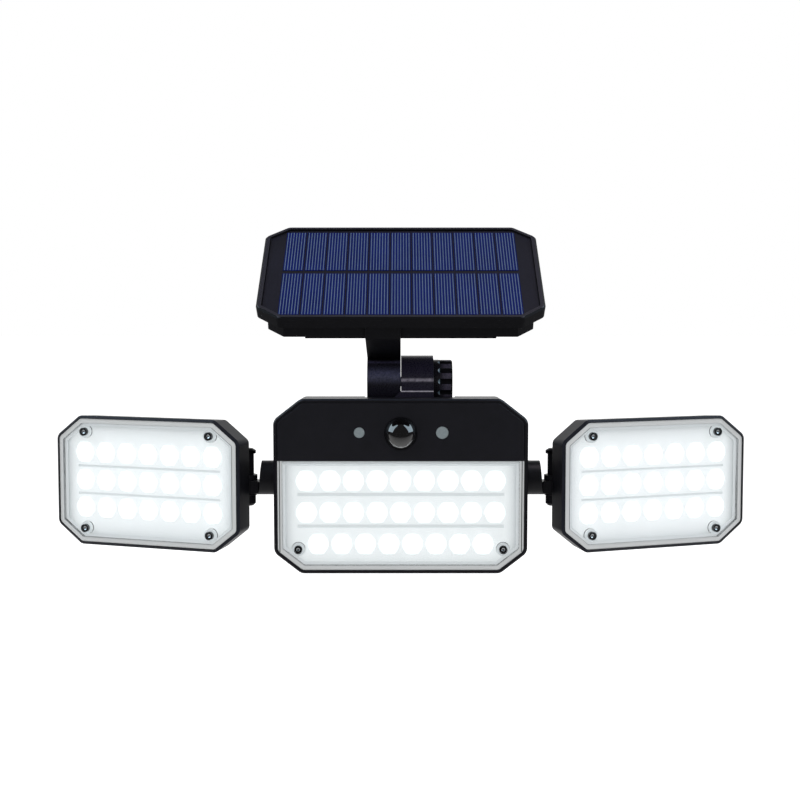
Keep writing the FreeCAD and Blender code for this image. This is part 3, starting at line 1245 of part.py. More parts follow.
def panel_nodes():
    return {
        "panel_frame": laid_back(panel_frame()),
        "panel_tray": laid_back(panel_tray()),
        "panel_screws": laid_back(panel_screws()),
        "panel_gasket": laid_back(panel_gasket()),
        "solar_laminate": laid_back(solar_laminate()),
        "solar_cells": laid_back(solar_cells()),
        "panel_arm": tilted(panel_arm()),
        "clamp_knob": to_hinge(clamp_knob()),
        "knob_insert": to_hinge(knob_insert()),
    }


def side_nodes():
    """The right-hand arm and head, and their mirror images on the left."""
    head = side_head()
    right = {
        "housing": to_pivot(side_housing(head)),
        "detent_ring": to_pivot(detent_ring()),
        "pivot_screw": to_pivot(pivot_screw()),
        "arm": side_arm(),
        "arm_clip": arm_clip(),
        "arm_seal": arm_seal(),
    }
    layers = lamp_layers(head, "lamp", lambda shape: to_pivot(side_place(shape)))
    for name, shape in layers.items():
        right[name.replace("lamp_", "", 1)] = shape
    nodes = {}
    for name, shape in right.items():
        nodes["right_" + name] = leaning(shape)
        nodes["left_" + name] = mirrored(leaning(shape))
    return nodes


def write(nodes):
    os.makedirs("parts", exist_ok=True)
    for name, shape in nodes.items():
        shape.exportStep(os.path.join("parts", name + ".step"))
        print(name, shape.isValid(), len(shape.Solids), round(shape.Volume, 1))
    print(len(nodes), "nodes")


all_nodes = main_nodes()
all_nodes.update(panel_nodes())
all_nodes.update(side_nodes())
write(all_nodes)
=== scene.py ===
import json
import math

import bmesh
import bpy
from mathutils import Matrix, Vector

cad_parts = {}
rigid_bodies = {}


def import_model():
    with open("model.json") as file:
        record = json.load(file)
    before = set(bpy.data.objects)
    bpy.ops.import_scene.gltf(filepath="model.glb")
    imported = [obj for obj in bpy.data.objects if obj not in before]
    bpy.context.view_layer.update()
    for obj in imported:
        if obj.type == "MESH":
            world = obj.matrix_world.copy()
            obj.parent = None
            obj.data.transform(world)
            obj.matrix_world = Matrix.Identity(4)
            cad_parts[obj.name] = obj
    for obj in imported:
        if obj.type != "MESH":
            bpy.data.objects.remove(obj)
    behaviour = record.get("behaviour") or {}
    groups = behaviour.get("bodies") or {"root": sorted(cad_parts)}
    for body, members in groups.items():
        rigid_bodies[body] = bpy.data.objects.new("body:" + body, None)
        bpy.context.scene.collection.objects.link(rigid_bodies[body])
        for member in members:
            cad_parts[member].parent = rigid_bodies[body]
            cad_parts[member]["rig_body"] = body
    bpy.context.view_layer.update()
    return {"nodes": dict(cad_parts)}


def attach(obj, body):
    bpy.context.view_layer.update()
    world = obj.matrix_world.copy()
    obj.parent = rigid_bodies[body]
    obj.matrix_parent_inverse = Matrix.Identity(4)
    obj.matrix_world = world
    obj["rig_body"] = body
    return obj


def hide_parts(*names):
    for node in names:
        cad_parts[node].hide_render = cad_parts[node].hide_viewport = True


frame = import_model()
nodes = frame["nodes"]

# Sizes are millimetres, as in the part's source, and MM turns them to metres. WELD is in metres.
MM = 0.001
WELD = 1e-6
FLAT_DEGREES = 0.6
SHARP_DEGREES = 24.0
SMALL_PART_SHARP_DEGREES = 35.0
TURNED_SHARP_DEGREES = 40.0
EDGE_SEGMENTS = 2
SHADING_WEIGHT = 60
MOTTLE = 1.4

# ---- places of the lamp heads and the panel ----
FRONT_Y = -76.0
PIVOT = (89.2, -58.0, 2.7)
SIDE_LEAN_DEGREES = 1.5
SIDE_YAW_DEGREES = 20.0
SIDE_CENTRE = (54.25, -23.9, -3.0)
HINGE = (0.0, -40.0, 57.2)
PANEL_TILT_DEGREES = 30.0
PANEL_BACK = 12.05
PANEL_RISE = 69.5

# ---- lamp layout ----
MAIN_WIDTH = 145.6
MAIN_COVER_TOP = 14.9
LENS_RADIUS = 6.1
LENS_APEX = 3.0
LENS_BASE = 9.0
LENS_LIP_RADIUS = 6.2
LENS_LIP_BACK = 4.15
LENS_LIP_FRONT = 3.95
LENS_BEVEL = 0.6
LENS_BEVEL_DEPTH = 0.25
LENS_SIDES = 36
LENS_DOME_STEPS = 5
LENS_HOLLOW = 2.6
LENS_CENTRE = 0.3
# The lens's six sides, and the cuts at its left and right, as shares of its radius.
LENS_ROUND_REACH = 3.0
LENS_FLATNESS = 0.6
LENS_FLAT = 0.96
LENS_CUT = 0.95
# Rings of faces with the second finish: the first of them, and the one after the last.
LENS_RIM_RINGS = (1, 5)
BRIGHT_RINGS = (7, 9)
# Height and count of each row of lenses.
MAIN_ROWS = ((-34.05, 8), (-15.6, 9), (2.85, 9))
MAIN_PITCH = 13.6
SIDE_ROWS = ((-16.4, 7), (0.0, 7), (16.4, 7))
SIDE_PITCH = 14.0
SIDE_LAMP_OUTSET = 0.6
MAIN_SCREWS = [(-59.0, -36.8), (59.0, -36.8)]
SIDE_SCREWS = [(x, z) for x in (-41.0, 41.0) for z in (-28.7, 28.7)]
LEFT_SCREWS = [(x - SIDE_LAMP_OUTSET, z) for x, z in SIDE_SCREWS]
RIGHT_SCREWS = [(x + SIDE_LAMP_OUTSET, z) for x, z in SIDE_SCREWS]
SCREW_TOP = 0.8
SCREW_HEAD_RADIUS = 2.2
SCREW_HEAD_HEIGHT = 1.6
SCREW_LENGTH = 7.0
SCREW_SIDES = 24
# Radius and depth under the head's top, from the head's edge to the recess.
SCREW_PROFILE = (
    (SCREW_HEAD_RADIUS, 0.9),
    (2.0, 0.42),
    (1.6, 0.08),
    (1.25, 0.0),
    (0.9, 0.1),
    (0.55, 0.3),
    (0.45, 0.6),
)
SHANK_RADIUS = 1.2
SHANK_TIP_RADIUS = 0.4
SHANK_TIP_LENGTH = 1.0
LOBES = 6
LOBE_SWELL = 0.13
LOBE_REACH = 1.1
BEAD_INSET = 3.1
BEAD_WIDTH = 0.5
BEAD_FRONT = 0.74
BEAD_BACK = 1.1
BEAD_LOW = -38.0
BEAD_HIGH = 15.1
WELL_TOP = 12.3
WELL_LIP_INSET = 5.2
WELL_LIP_DROP = 0.3
# Depth of each corner below the lip's two upper ones, and its height above the well's top.
WELL_LIP_BEND = ((3.3, 1.0), (4.15, 0.0), (4.15, -0.8), (3.3, -0.2), (2.4, 0.8))
COVER_EDGE = 0.12
WELL_EDGE = 0.15
# Where a cover and a reflector change their finish, painted glow and painted shade, from a screw's
# centre and in depth.
BOSS_REACH = 3.9
BOSS_HOLE = (1.5, 2.5)
HOLE_DEPTHS = (1.0, 2.2)
STEP_FRONT = 0.3
FLANGE_FRONT = 0.7
STEP_BACK = 0.9
COVER_BACK = 2.25
WELL_FRONT = 4.2
GROOVE_FLOOR = 5.0
DEPTH_SLACK = 0.05
# The reflector's painted glow, and how far it reaches past the lenses.
GLOW = 0.31
GLOW_INSIDE = 1.0
GLOW_BESIDE = 9.0
GLOW_ABOVE = 20.0

# ---- where the mouldings change their finish, for painted highlights and shade ----
KNUCKLE_LOW = 50.9
ARM_LOW = 70.5
KNOB_RADIUS = 13.05
KNOB_RIDGE = 0.12
KNOB_CORE = 12.0
KNOB_SCOOP = 22.9
MAIN_TOP_BEVEL = 49.5
BEVEL = (0.1, 1.35)
SIDE_CORNER = (30.0, 20.0)

# ---- sensor and windows ----
SENSOR_Z = 30.7
DOME_RADIUS = 8.9
DOME_LIP_RADIUS = 9.4
DOME_REACH = 7.0
DOME_BASE = 3.7
DOME_BORE = 8.0
DOME_FLANGE_RADIUS = 10.9
DOME_FLANGE = (-0.3, 0.9)
DOME_LIP_BACK = 0.4
DOME_SIDES = 96
DOME_STEPS = 24
DOME_TIP = 0.12
WINDOW_Z = 31.2
# Sideways place, radius and count of ridges.
LIGHT_SENSOR = (-23.7, 3.05, 3)
INDICATOR = (23.7, 3.55, 2)
PLUG_SIDES = 48
PLUG_BACK = 4.4
PLUG_RIM_FRONT = 3.4
PLUG_RIM = 1.0
PLUG_SHOULDER = 0.3
PLUG_FACE = 0.15
PLUG_TIP = 0.1
RIDGE_FLOOR = 0.27
FIRST_RIDGE = 0.7

# ---- solar panel ----
PANEL_LENGTH = 100.3
RIM_TOP = 0.3
CELL_TOP = 0.8
CELL_THICKNESS = 0.3
CELL_PITCH = 12.33
CELL_GAP = 0.9
CELL_COLUMNS = 11
CELL_ROW_LENGTH = 43.2
CELL_ROW_GAP = 3.4
CELL_FRONT_BORDER = 4.6
FINGERS = 7
FINGER_WIDTH = 0.42
FINGER_HEIGHT = 0.06
FINGER_SHORT = 0.6


def at(*steps):
    """Matrix from millimetres to the frame, for a list of moves, the last one done first.

    A move is a shift (x, y, z) or a turn (degrees, axis).
    """
    moves = Matrix.Identity(4)
    for step in steps:
        if len(step) == 3:
            moves = moves @ Matrix.Translation(step)
        else:
            moves = moves @ Matrix.Rotation(math.radians(step[0]), 4, step[1])
    return Matrix.Scale(MM, 4) @ moves


MAIN = at((0.0, FRONT_Y, 0.0))
RIGHT = at(PIVOT, (-SIDE_LEAN_DEGREES, "X"), (SIDE_YAW_DEGREES, "Z"), SIDE_CENTRE)
LEFT = at(
    (-PIVOT[0], PIVOT[1], PIVOT[2]),
    (-SIDE_LEAN_DEGREES, "X"),
    (-SIDE_YAW_DEGREES, "Z"),
    (-SIDE_CENTRE[0], SIDE_CENTRE[1], SIDE_CENTRE[2]),
)
PANEL = at(HINGE, (PANEL_TILT_DEGREES, "X"), (0.0, PANEL_BACK, PANEL_RISE), (-90.0, "X"))


# ---- small helpers ----
def paint(code):
    """sRGB hex colour as linear RGBA."""
    parts = [int(code[i:i + 2], 16) / 255 for i in (1, 3, 5)]
    return [c / 12.92 if c <= 0.04045 else ((c + 0.055) / 1.055) ** 2.4 for c in parts] + [1.0]


def add(tree, kind, inputs=None, **settings):
    """Adds a node with its settings.

    inputs gives each socket a value, or another node's output to link.
    """
    node = tree.nodes.new(kind)
    for name, value in settings.items():
        setattr(node, name, value)
    for socket, value in (inputs or {}).items():
        if isinstance(value, bpy.types.NodeSocket):
            tree.links.new(value, node.inputs[socket])
        else:
            node.inputs[socket].default_value = value
    return node


def node_of(tree, kind):
    """The first node of a kind in a tree."""
    return next(node for node in tree.nodes if node.type == kind)


def away_from(tree, value, middle):
    """How far a value lies from a fixed middle, on either side."""
    offset = add(tree, "ShaderNodeMath", {0: value, 1: middle}, operation="SUBTRACT")
    return add(tree, "ShaderNodeMath", {0: offset.outputs[0]}, operation="ABSOLUTE").outputs[0]


def link(name, mesh):
    """Puts a mesh in the scene as an object at the origin."""
    piece = bpy.data.objects.new(name, mesh)
    bpy.context.scene.collection.objects.link(piece)
    return piece


def mesh_from(name, points, faces, place=None, smooth=True):
    """Mesh from points and faces, moved by the matrix place."""
    mesh = bpy.data.meshes.new(name)
    mesh.from_pydata(points, [], faces)
    if place is not None:
        mesh.transform(place)
    mesh.polygons.foreach_set("use_smooth", [smooth] * len(mesh.polygons))
    return mesh


def stand_in(piece, slot, *replaced):
    """The piece takes the place of CAD nodes, and rides where the first of them does."""
    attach(piece, nodes[replaced[0]]["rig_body"])
    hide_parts(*replaced)


def dress(piece, *materials):
    """Gives a piece its materials in place of those it had."""
    piece.data.materials.clear()
    for material in materials:
        piece.data.materials.append(material)
    return piece


def softened(piece_name, node, edge, *materials, choose=None):
    """A copy of a CAD node, its flat faces joined up and its sharp edges rounded by edge millimetres.

    choose picks one of the materials for each face by the face's centre.
    """
    joined = bmesh.new()
    joined.from_mesh(nodes[node].data)
    bmesh.ops.remove_doubles(joined, verts=joined.verts, dist=WELD)
    flat = math.radians(FLAT_DEGREES)
    bmesh.ops.dissolve_limit(joined, angle_limit=flat, verts=joined.verts, edges=joined.edges)
    joined.verts.index_update()
    points = [v.co.copy() for v in joined.verts]
    faces = [[v.index for v in face.verts] for face in joined.faces]
    joined.free()
    piece = link(piece_name, mesh_from(piece_name, points, faces))
    dress(piece, *materials)
    if choose:
        for face in piece.data.polygons:
            face.material_index = choose(face.center)
    bevel = piece.modifiers.new("Edges", "BEVEL")
    bevel.width = edge * MM
    bevel.segments = EDGE_SEGMENTS
    bevel.limit_method = "ANGLE"
    bevel.angle_limit = math.radians(SHARP_DEGREES)
    bevel.use_clamp_overlap = True
    weighted = piece.modifiers.new("Shading", "WEIGHTED_NORMAL")
    weighted.keep_sharp = False
    weighted.weight = SHADING_WEIGHT
    return piece


def turned(rings, sides, radius_at=None):
    """Points and faces of a closed shape turned about the depth axis, from rings (radius, depth).

    radius_at scales a ring's radius by the angle round it.
    """
    points = []
    faces = []
    for radius, depth in rings:
        for i in range(sides):
            angle = 2 * math.pi * i / sides
            reach = radius * (radius_at(angle, radius) if radius_at else 1.0)
            points.append((reach * math.cos(angle), depth, reach * math.sin(angle)))
    for ring in range(len(rings) - 1):
        for i in range(sides):
            a = ring * sides + i
            b = ring * sides + (i + 1) % sides
            faces.append((a, b, b + sides, a + sides))
    faces.append(tuple(range(sides))[::-1])
    last = (len(rings) - 1) * sides
    faces.append(tuple(range(last, last + sides)))
    return points, faces


# ---- materials ----
def surface(name, shader, colours, spread, grain, depth, roughness):
    """A moulded surface: two near colours in soft patches, and a grain in its bump and roughness.

    spread and grain are the size of a patch and of a grain in millimetres, and depth is the grain's
    height. shader sets the principled shader's own sockets. With one colour there are no patches, and
    spread is None. The real grain of a moulding is about 0.1 mm, which is too fine to show, so each
    grain is drawn a few times as coarse.
    """
    material = bpy.data.materials.new(name)
    material.use_nodes = True
    tree = material.node_tree
    tree.nodes.clear()
    coords = add(tree, "ShaderNodeTexCoord").outputs["Object"]
    colour = paint(colours[0])
    if len(colours) > 1:
        patches = add(
            tree,
            "ShaderNodeTexNoise",
            {"Vector": coords, "Scale": 1 / (spread * MM), "Detail": 3.0},
        )
        mixed = add(
            tree,
            "ShaderNodeMix",
            {0: patches.outputs["Fac"], 6: colour, 7: paint(colours[1])},
            data_type="RGBA",
        )
        colour = mixed.outputs[2]
    grains = add(
        tree,
        "ShaderNodeTexNoise",
        {"Vector": coords, "Scale": 1 / (grain * MM), "Detail": 2.0},
    )
    gloss = add(
        tree,
        "ShaderNodeMapRange",
        {"Value": grains.outputs["Fac"], "To Min": roughness[0], "To Max": roughness[1]},
    )
    bump = add(
        tree,
        "ShaderNodeBump",
        {"Height": grains.outputs["Fac"], "Strength": 1.0, "Distance": depth * MM},
    )
    inputs = {
        "Base Color": colour,
        "Roughness": gloss.outputs[0],
        "Normal": bump.outputs[0],
    }
    inputs.update(shader)
    principled = add(tree, "ShaderNodeBsdfPrincipled", inputs)
    add(tree, "ShaderNodeOutputMaterial", {"Surface": principled.outputs[0]})
    return material


# Black ABS, injection moulded in a spark-eroded tool: a fine grain that shows where light grazes it.
black_abs = surface(
    "black_abs_moulded",
    {"IOR": 1.52, "Specular IOR Level": 0.18},
    ("#131316", "#18171c"),
    18.0, 0.35, 0.012, (0.30, 0.42),
)
# The panel's tray, rim and arm in the same ABS, painted darker as shade because they face down, and
# matt, so they hardly mirror anything.
shaded_matt_abs = surface(
    "black_abs_matt_painted_shade",
    {"IOR": 1.52, "Specular IOR Level": 0.06},
    ("#0c0c0f", "#111114"),
    18.0, 0.35, 0.012, (0.45, 0.6),
)
# The panel rim's top, painted a little lighter as a highlight.
rim_highlight_abs = surface(
    "black_abs_rim_top_painted_highlight",
    {"IOR": 1.52, "Specular IOR Level": 0.25},
    ("#1f1e26", "#29282f"),
    9.0, 0.5, 0.015, (0.28, 0.4),
)
# The same ABS with the coarser grain of the sensor's front plate.
grained_abs = surface(
    "black_abs_grained",
    {"IOR": 1.52, "Specular IOR Level": 0.15},
    ("#151519", "#1b1a20"),
    9.0, 0.55, 0.035, (0.42, 0.58),
)
# The knob's flutes are painted darker, as shade in the grooves, and keep a dull finish.
flute_shade_abs = surface(
    "black_abs_flutes_painted_shade",
    {"IOR": 1.52, "Specular IOR Level": 0.1},
    ("#0b0a0e", "#100e14"),
    4.0, 0.5, 0.02, (0.45, 0.6),
)


def highlight_banded(name, colours, bands, axis="Z"):
    """The hinge's black ABS, with mottled lighter bands of painted highlight.

    A band is (low, high, colour, amount), with its limits in millimetres along the frame's axis.
    """
    finish = {"IOR": 1.52, "Specular IOR Level": 0.3}
    material = surface(name, finish, colours, 6.0, 0.6, 0.02, (0.22, 0.34))
    tree = material.node_tree
    coords = node_of(tree, "TEX_COORD").outputs["Object"]
    base = node_of(tree, "BSDF_PRINCIPLED").inputs["Base Color"]
    along = add(tree, "ShaderNodeSeparateXYZ", {0: coords}).outputs[axis]
    mottle = add(
        tree,
        "ShaderNodeTexNoise",
        {"Vector": coords, "Scale": 1 / (MOTTLE * MM), "Detail": 3.0},
    )
    colour = base.links[0].from_socket
    for low, high, code, amount in bands:
        highlight_band = add(
            tree,
            "ShaderNodeMapRange",
            {
                "Value": away_from(tree, along, (low + high) / 2 * MM),
                "From Max": (high - low) / 2 * MM,
                "To Min": 2 * amount,
                "To Max": 0.0,
            },
            interpolation_type="SMOOTHSTEP",
        )
        share = add(
            tree,
            "ShaderNodeMath",
            {0: highlight_band.outputs[0], 1: mottle.outputs["Fac"]},
            operation="MULTIPLY",
        )
        mixed = add(
            tree,
            "ShaderNodeMix",
            {0: share.outputs[0], 6: colour, 7: paint(code)},
            data_type="RGBA",
        )
        colour = mixed.outputs[2]
    tree.links.new(colour, base)
    return material


# The flutes' scooped ends are small hollows, painted pale blue-grey as a glint.
scoop_glint_abs = surface(
    "black_abs_scoops_painted_glint",
    {"IOR": 1.52, "Specular IOR Level": 0.6},
    ("#586b78", "#6b7f8c"),
    4.0, 0.5, 0.005, (0.15, 0.25),
)
# The main head's top front bevel, painted a little lighter as a highlight.
bevel_highlight_abs = surface(
    "black_abs_bevel_painted_highlight",
    {"IOR": 1.52, "Specular IOR Level": 0.2},
    ("#20222a", "#2b2e36"),
    9.0, 0.5, 0.015, (0.25, 0.38),
)
# The side heads' front bevels and cut upper corners, painted a little lighter and bluer as a highlight,
# and with a duller gloss.
side_bevel_highlight_abs = surface(
    "black_abs_side_bevel_painted_highlight",
    {"IOR": 1.52, "Specular IOR Level": 0.07},
    ("#1b1c22", "#24262d"),
    9.0, 0.5, 0.015, (0.3, 0.42),
)
# The housing's own knuckle, lighter and more violet than the housing, with painted highlights on its
# crown and at its foot.
fixed_knuckle_abs = highlight_banded(
    "black_abs_fixed_knuckle",
    ("#232130", "#2a2838"),
    ((57.9, 61.1, "#a8a3b2", 0.7), (52.6, 53.5, "#d5d2de", 0.9)),
)
# The knob's ridges carry a painted highlight, and its collar doesn't.
knob_abs = highlight_banded(
    "black_abs_knob",
    ("#15141a", "#1b1a21"),
    ((21.6, 33.0, "#4a4656", 1.0),),
    "X",
)
# The panel arm's knuckle, a little lighter, with painted highlights round the bolt and where the arm
# begins.
moving_knuckle_abs = highlight_banded(
    "black_abs_moving_knuckle",
    ("#1b1a23", "#21202b"),
    ((56.0, 68.0, "#4a4c66", 0.9), (68.4, 70.4, "#45435c", 0.7)),
)
# Smoked polycarbonate of the sensor's dome: almost black and highly polished.
smoked_polycarbonate = surface(
    "smoked_polycarbonate",
    {"IOR": 1.58, "Coat Weight": 0.8, "Coat Roughness": 0.02, "Specular IOR Level": 0.7},
    ("#060607", "#0c0b0d"),
    8.0, 1.6, 0.004, (0.03, 0.07),
)
# Grey frosted acrylic over the light sensor and the indicator: an even, dull grey.
frosted_acrylic = surface(
    "frosted_acrylic",
    {"IOR": 1.49},
    ("#727c7f", "#8c979a"),
    0.9, 0.3, 0.03, (0.35, 0.55),
)


def pale_abs(name, strength):
    """Satin pale ABS of the lamp reflectors, with a painted glow of the given strength for the light
    scattered in it.
    """
    finish = {
        "IOR": 1.52,
        "Specular IOR Level": 0.3,
        "Emission Color": paint("#fcfffc"),
        "Emission Strength": strength,
    }
    return surface(name, finish, ("#d2d8da", "#dbe0e2"), 14.0, 0.5, 0.01, (0.38, 0.5))


# The grooves between the rows of lenses and the bent top lip get a weaker painted glow.
pale_groove = pale_abs("pale_abs_groove", 0.14)
pale_lip = pale_abs("pale_abs_lip", 0.1)
# Acrylic lenses with the lamps behind them lit: clear white light from the whole lens.
lit_acrylic = surface(
    "lit_acrylic_lens",
    {"IOR": 1.49, "Emission Color": paint("#ffffff"), "Emission Strength": 1.2},
    ("#f4fafa", "#ffffff"),
    5.0, 1.2, 0.01, (0.08, 0.16),
)
# The bevelled rim of a lit lens, where its light thins out.
lit_rim = surface(
    "lit_acrylic_rim",
    {"IOR": 1.49, "Emission Color": paint("#f8ffff"), "Emission Strength": 0.45},
    ("#e4eaeb", "#eef3f3"),
    5.0, 1.2, 0.01, (0.1, 0.2),
)
# White solder mask of the aluminium lamp boards: chalky white with a low sheen.
white_solder_mask = surface(
    "white_solder_mask", {}, ("#e6e8e4", "#f0f1ee"), 6.0, 0.4, 0.01, (0.35, 0.5)
)
# Yellow phosphor cast over the lamp chips: soft and matt.
phosphor = surface(
    "led_phosphor", {}, ("#e3c84a", "#f0da6c"), 1.0, 0.2, 0.02, (0.5, 0.7)
)
# Green glass-epoxy circuit board under its solder mask: mottled, with a half gloss.
glass_epoxy = surface(
    "glass_epoxy_board", {"IOR": 1.55}, ("#1d5a34", "#25683d"), 3.0, 0.6, 0.02, (0.25, 0.4)
)
# Blue heat-shrunk PVC sleeve of the battery cells: glossy, with a faint orange peel.
pvc_sleeve = surface(
    "pvc_cell_sleeve", {"IOR": 1.53}, ("#1f4f8c", "#255a9c"), 12.0, 1.5, 0.03, (0.2, 0.35)
)
# Nickel-plated can of the infrared detector: a soft, warm mirror.
nickel = surface(
    "nickel_plate", {"Metallic": 1.0}, ("#a9a49a", "#bab5aa"), 4.0, 0.3, 0.005, (0.25, 0.38)
)
# Bright zinc plate on the hinge bolt, washer and clips: a faint bluish spangle.
zinc = surface(
    "zinc_plated_steel", {"Metallic": 1.0}, ("#9ea3a8", "#b4b8bc"), 2.0, 0.25, 0.008, (0.3, 0.45)
)
# Black oxide on the cover and cap screws: dark metal with a low sheen.
black_oxide = surface(
    "black_oxide_steel", {"Metallic": 1.0}, ("#1d1d20", "#28282c"), 1.0, 0.2, 0.01, (0.3, 0.45)
)
# Stainless steel, turned bright, on the rear screws; the cover screws' recesses take it too, as a
# painted highlight.
stainless_and_glint = surface(
    "stainless_steel", {"Metallic": 1.0}, ("#b9bcbf", "#cdd0d2"), 0.8, 0.15, 0.005, (0.2, 0.32)
)
# Brass of the knob's moulded-in nut, turned: a soft yellow gleam.
brass = surface("brass", {"Metallic": 1.0}, ("#b08d45", "#c6a257"), 2.0, 0.2, 0.006, (0.25, 0.4))
# Dark EPDM rubber of the seals: matt, with mould dust.
seal_rubber = surface("epdm_seal", {"IOR": 1.5}, ("#1b1c1e", "#26282a"), 2.0, 0.3, 0.02, (0.6, 0.8))
# Black silicone rubber of the push button, moulded: matt, with a faint sheen.
button_rubber = surface(
    "silicone_rubber", {"IOR": 1.43}, ("#202023", "#2a2a2e"), 2.0, 0.25, 0.015, (0.5, 0.65)
)


def clear_plastic(name, code, alpha, roughness, strength=0.0):
    """Clear polycarbonate with faint flow marks in its gloss.

    strength is a painted glow for the lamp light that it scatters.
    """
    finish = {
        "IOR": 1.58,
        "Alpha": alpha,
        "Specular IOR Level": 0.3,
        "Emission Color": paint("#f8fdff"),
        "Emission Strength": strength,
    }
    return surface(name, finish, (code,), None, 3.0, 0.004, roughness)


# The window itself, nearly invisible but for its gloss.
clear_cover = clear_plastic("clear_polycarbonate", "#eef4f5", 0.05, (0.03, 0.08))
# The cover's thin flange is pale, with a painted glow for the light it gathers from the window.
cover_flange = clear_plastic("polycarbonate_flange", "#b9bbba", 0.95, (0.14, 0.24), 0.17)
# The step round the window bends the view to the dark seal behind it.
cover_step = clear_plastic("polycarbonate_step", "#636a6f", 0.96, (0.1, 0.18), 0.02)
# A thin bead in the flange, painted dark as shade, for the dark line between the flange's pale bands.
cover_bead_shade = clear_plastic("polycarbonate_bead_painted_shade", "#3c3f41", 0.95, (0.2, 0.3))
# The bosses round the screws and the flange's back edge are pale, with a painted glow for the lamps'
# light that they scatter.
cover_boss = clear_plastic("polycarbonate_boss", "#ccd1d3", 0.94, (0.2, 0.3), 0.26)
# The bosses' holes are painted dark: painted shade in the counterbores round the screws.
boss_hole_shade = clear_plastic("polycarbonate_hole_painted_shade", "#141518", 0.96, (0.2, 0.3))
# Backing sheet of the solar panel under its clear laminate: nearly black, with a dull shine.
cell_backing = surface(
    "pet_backing",
    {"IOR": 1.5, "Coat Weight": 0.2, "Coat Roughness": 0.12, "Specular IOR Level": 0.15},
    ("#111119", "#171622"),
    15.0, 0.8, 0.006, (0.35, 0.5),
)
# Monocrystalline silicon with its anti-reflection coat: deep blue, a little uneven.
silicon = surface(
    "monocrystalline_silicon",
    {"IOR": 1.5, "Coat Weight": 0.1, "Coat Roughness": 0.1, "Specular IOR Level": 0.1},
    ("#00093c", "#03155e"),
    22.0, 0.8, 0.003, (0.3, 0.42),
)
# Screen-printed silver fingers: thin grey-blue lines, as dull as paste.
silver_paste = surface(
    "silver_paste", {"Specular IOR Level": 0.3}, ("#465870", "#5a6c82"), 5.0, 0.2, 0.004, (0.4, 0.55)
)


# ---- trees for what repeats ----
def tree_with(name, sockets):
    """A geometry tree with named inputs, and those inputs as sockets."""
    tree = bpy.data.node_groups.new(name, "GeometryNodeTree")
    for label, kind in sockets:
        tree.interface.new_socket(label, in_out="INPUT", socket_type="NodeSocket" + kind)
    tree.interface.new_socket("Result", in_out="OUTPUT", socket_type="NodeSocketGeometry")
    return tree, add(tree, "NodeGroupInput").outputs


def at_points_tree():
    """Sets one part at every point in the size given, and gives it its materials."""
    sockets = (
        ("Points", "Geometry"),
        ("Part", "Object"),
        ("Size", "Float"),
        ("Finish", "Material"),
        ("Second Finish", "Material"),
    )
    tree, given = tree_with("part_at_points", sockets)
    part = add(tree, "GeometryNodeObjectInfo", {"Object": given["Part"]})
    copies = add(
        tree,
        "GeometryNodeInstanceOnPoints",
        {"Points": given["Points"], "Instance": part.outputs["Geometry"], "Scale": given["Size"]},
    )
    real = add(tree, "GeometryNodeRealizeInstances", {"Geometry": copies.outputs[0]})
    finished = add(
        tree,
        "GeometryNodeSetMaterial",
        {"Geometry": real.outputs[0], "Material": given["Finish"]},
    )
    second = add(tree, "GeometryNodeInputNamedAttribute", {"Name": "second"}, data_type="BOOLEAN")
    last = add(
        tree,
        "GeometryNodeSetMaterial",
        {
            "Geometry": finished.outputs[0],
            "Selection": second.outputs[0],
            "Material": given["Second Finish"],
        },
    )
    add(tree, "NodeGroupOutput", {"Result": last.outputs[0]})
    return tree


def bars_tree():
    """At every point, a row of flat bars side by side along X."""
    sockets = (
        ("Points", "Geometry"),
        ("Bar", "Vector"),
        ("Bars", "Int"),
        ("Pitch", "Float"),
        ("Finish", "Material"),
    )
    tree, given = tree_with("bars_at_points", sockets)
    span = add(tree, "ShaderNodeMath", {0: given["Bars"], 1: 1.0}, operation="SUBTRACT")
    half = add(tree, "ShaderNodeMath", {0: span.outputs[0], 1: -0.5}, operation="MULTIPLY")
    start = add(tree, "ShaderNodeMath", {0: half.outputs[0], 1: given["Pitch"]}, operation="MULTIPLY")
    first = add(tree, "ShaderNodeCombineXYZ", {"X": start.outputs[0]})
    step = add(tree, "ShaderNodeCombineXYZ", {"X": given["Pitch"]})
    row = add(
        tree,
        "GeometryNodeMeshLine",
        {"Count": given["Bars"], "Start Location": first.outputs[0], "Offset": step.outputs[0]},
    )
    bar = add(tree, "GeometryNodeMeshCube", {"Size": given["Bar"]})
    bars = add(
        tree,
        "GeometryNodeInstanceOnPoints",
        {"Points": row.outputs[0], "Instance": bar.outputs[0]},
    )
    cells = add(
        tree,
        "GeometryNodeInstanceOnPoints",
        {"Points": given["Points"], "Instance": bars.outputs[0]},
    )
    real = add(tree, "GeometryNodeRealizeInstances", {"Geometry": cells.outputs[0]})
    last = add(
        tree,
        "GeometryNodeSetMaterial",
        {"Geometry": real.outputs[0], "Material": given["Finish"]},
    )
    add(tree, "NodeGroupOutput", {"Result": last.outputs[0]})
    return tree


PART_AT_POINTS = at_points_tree()
BARS_AT_POINTS = bars_tree()


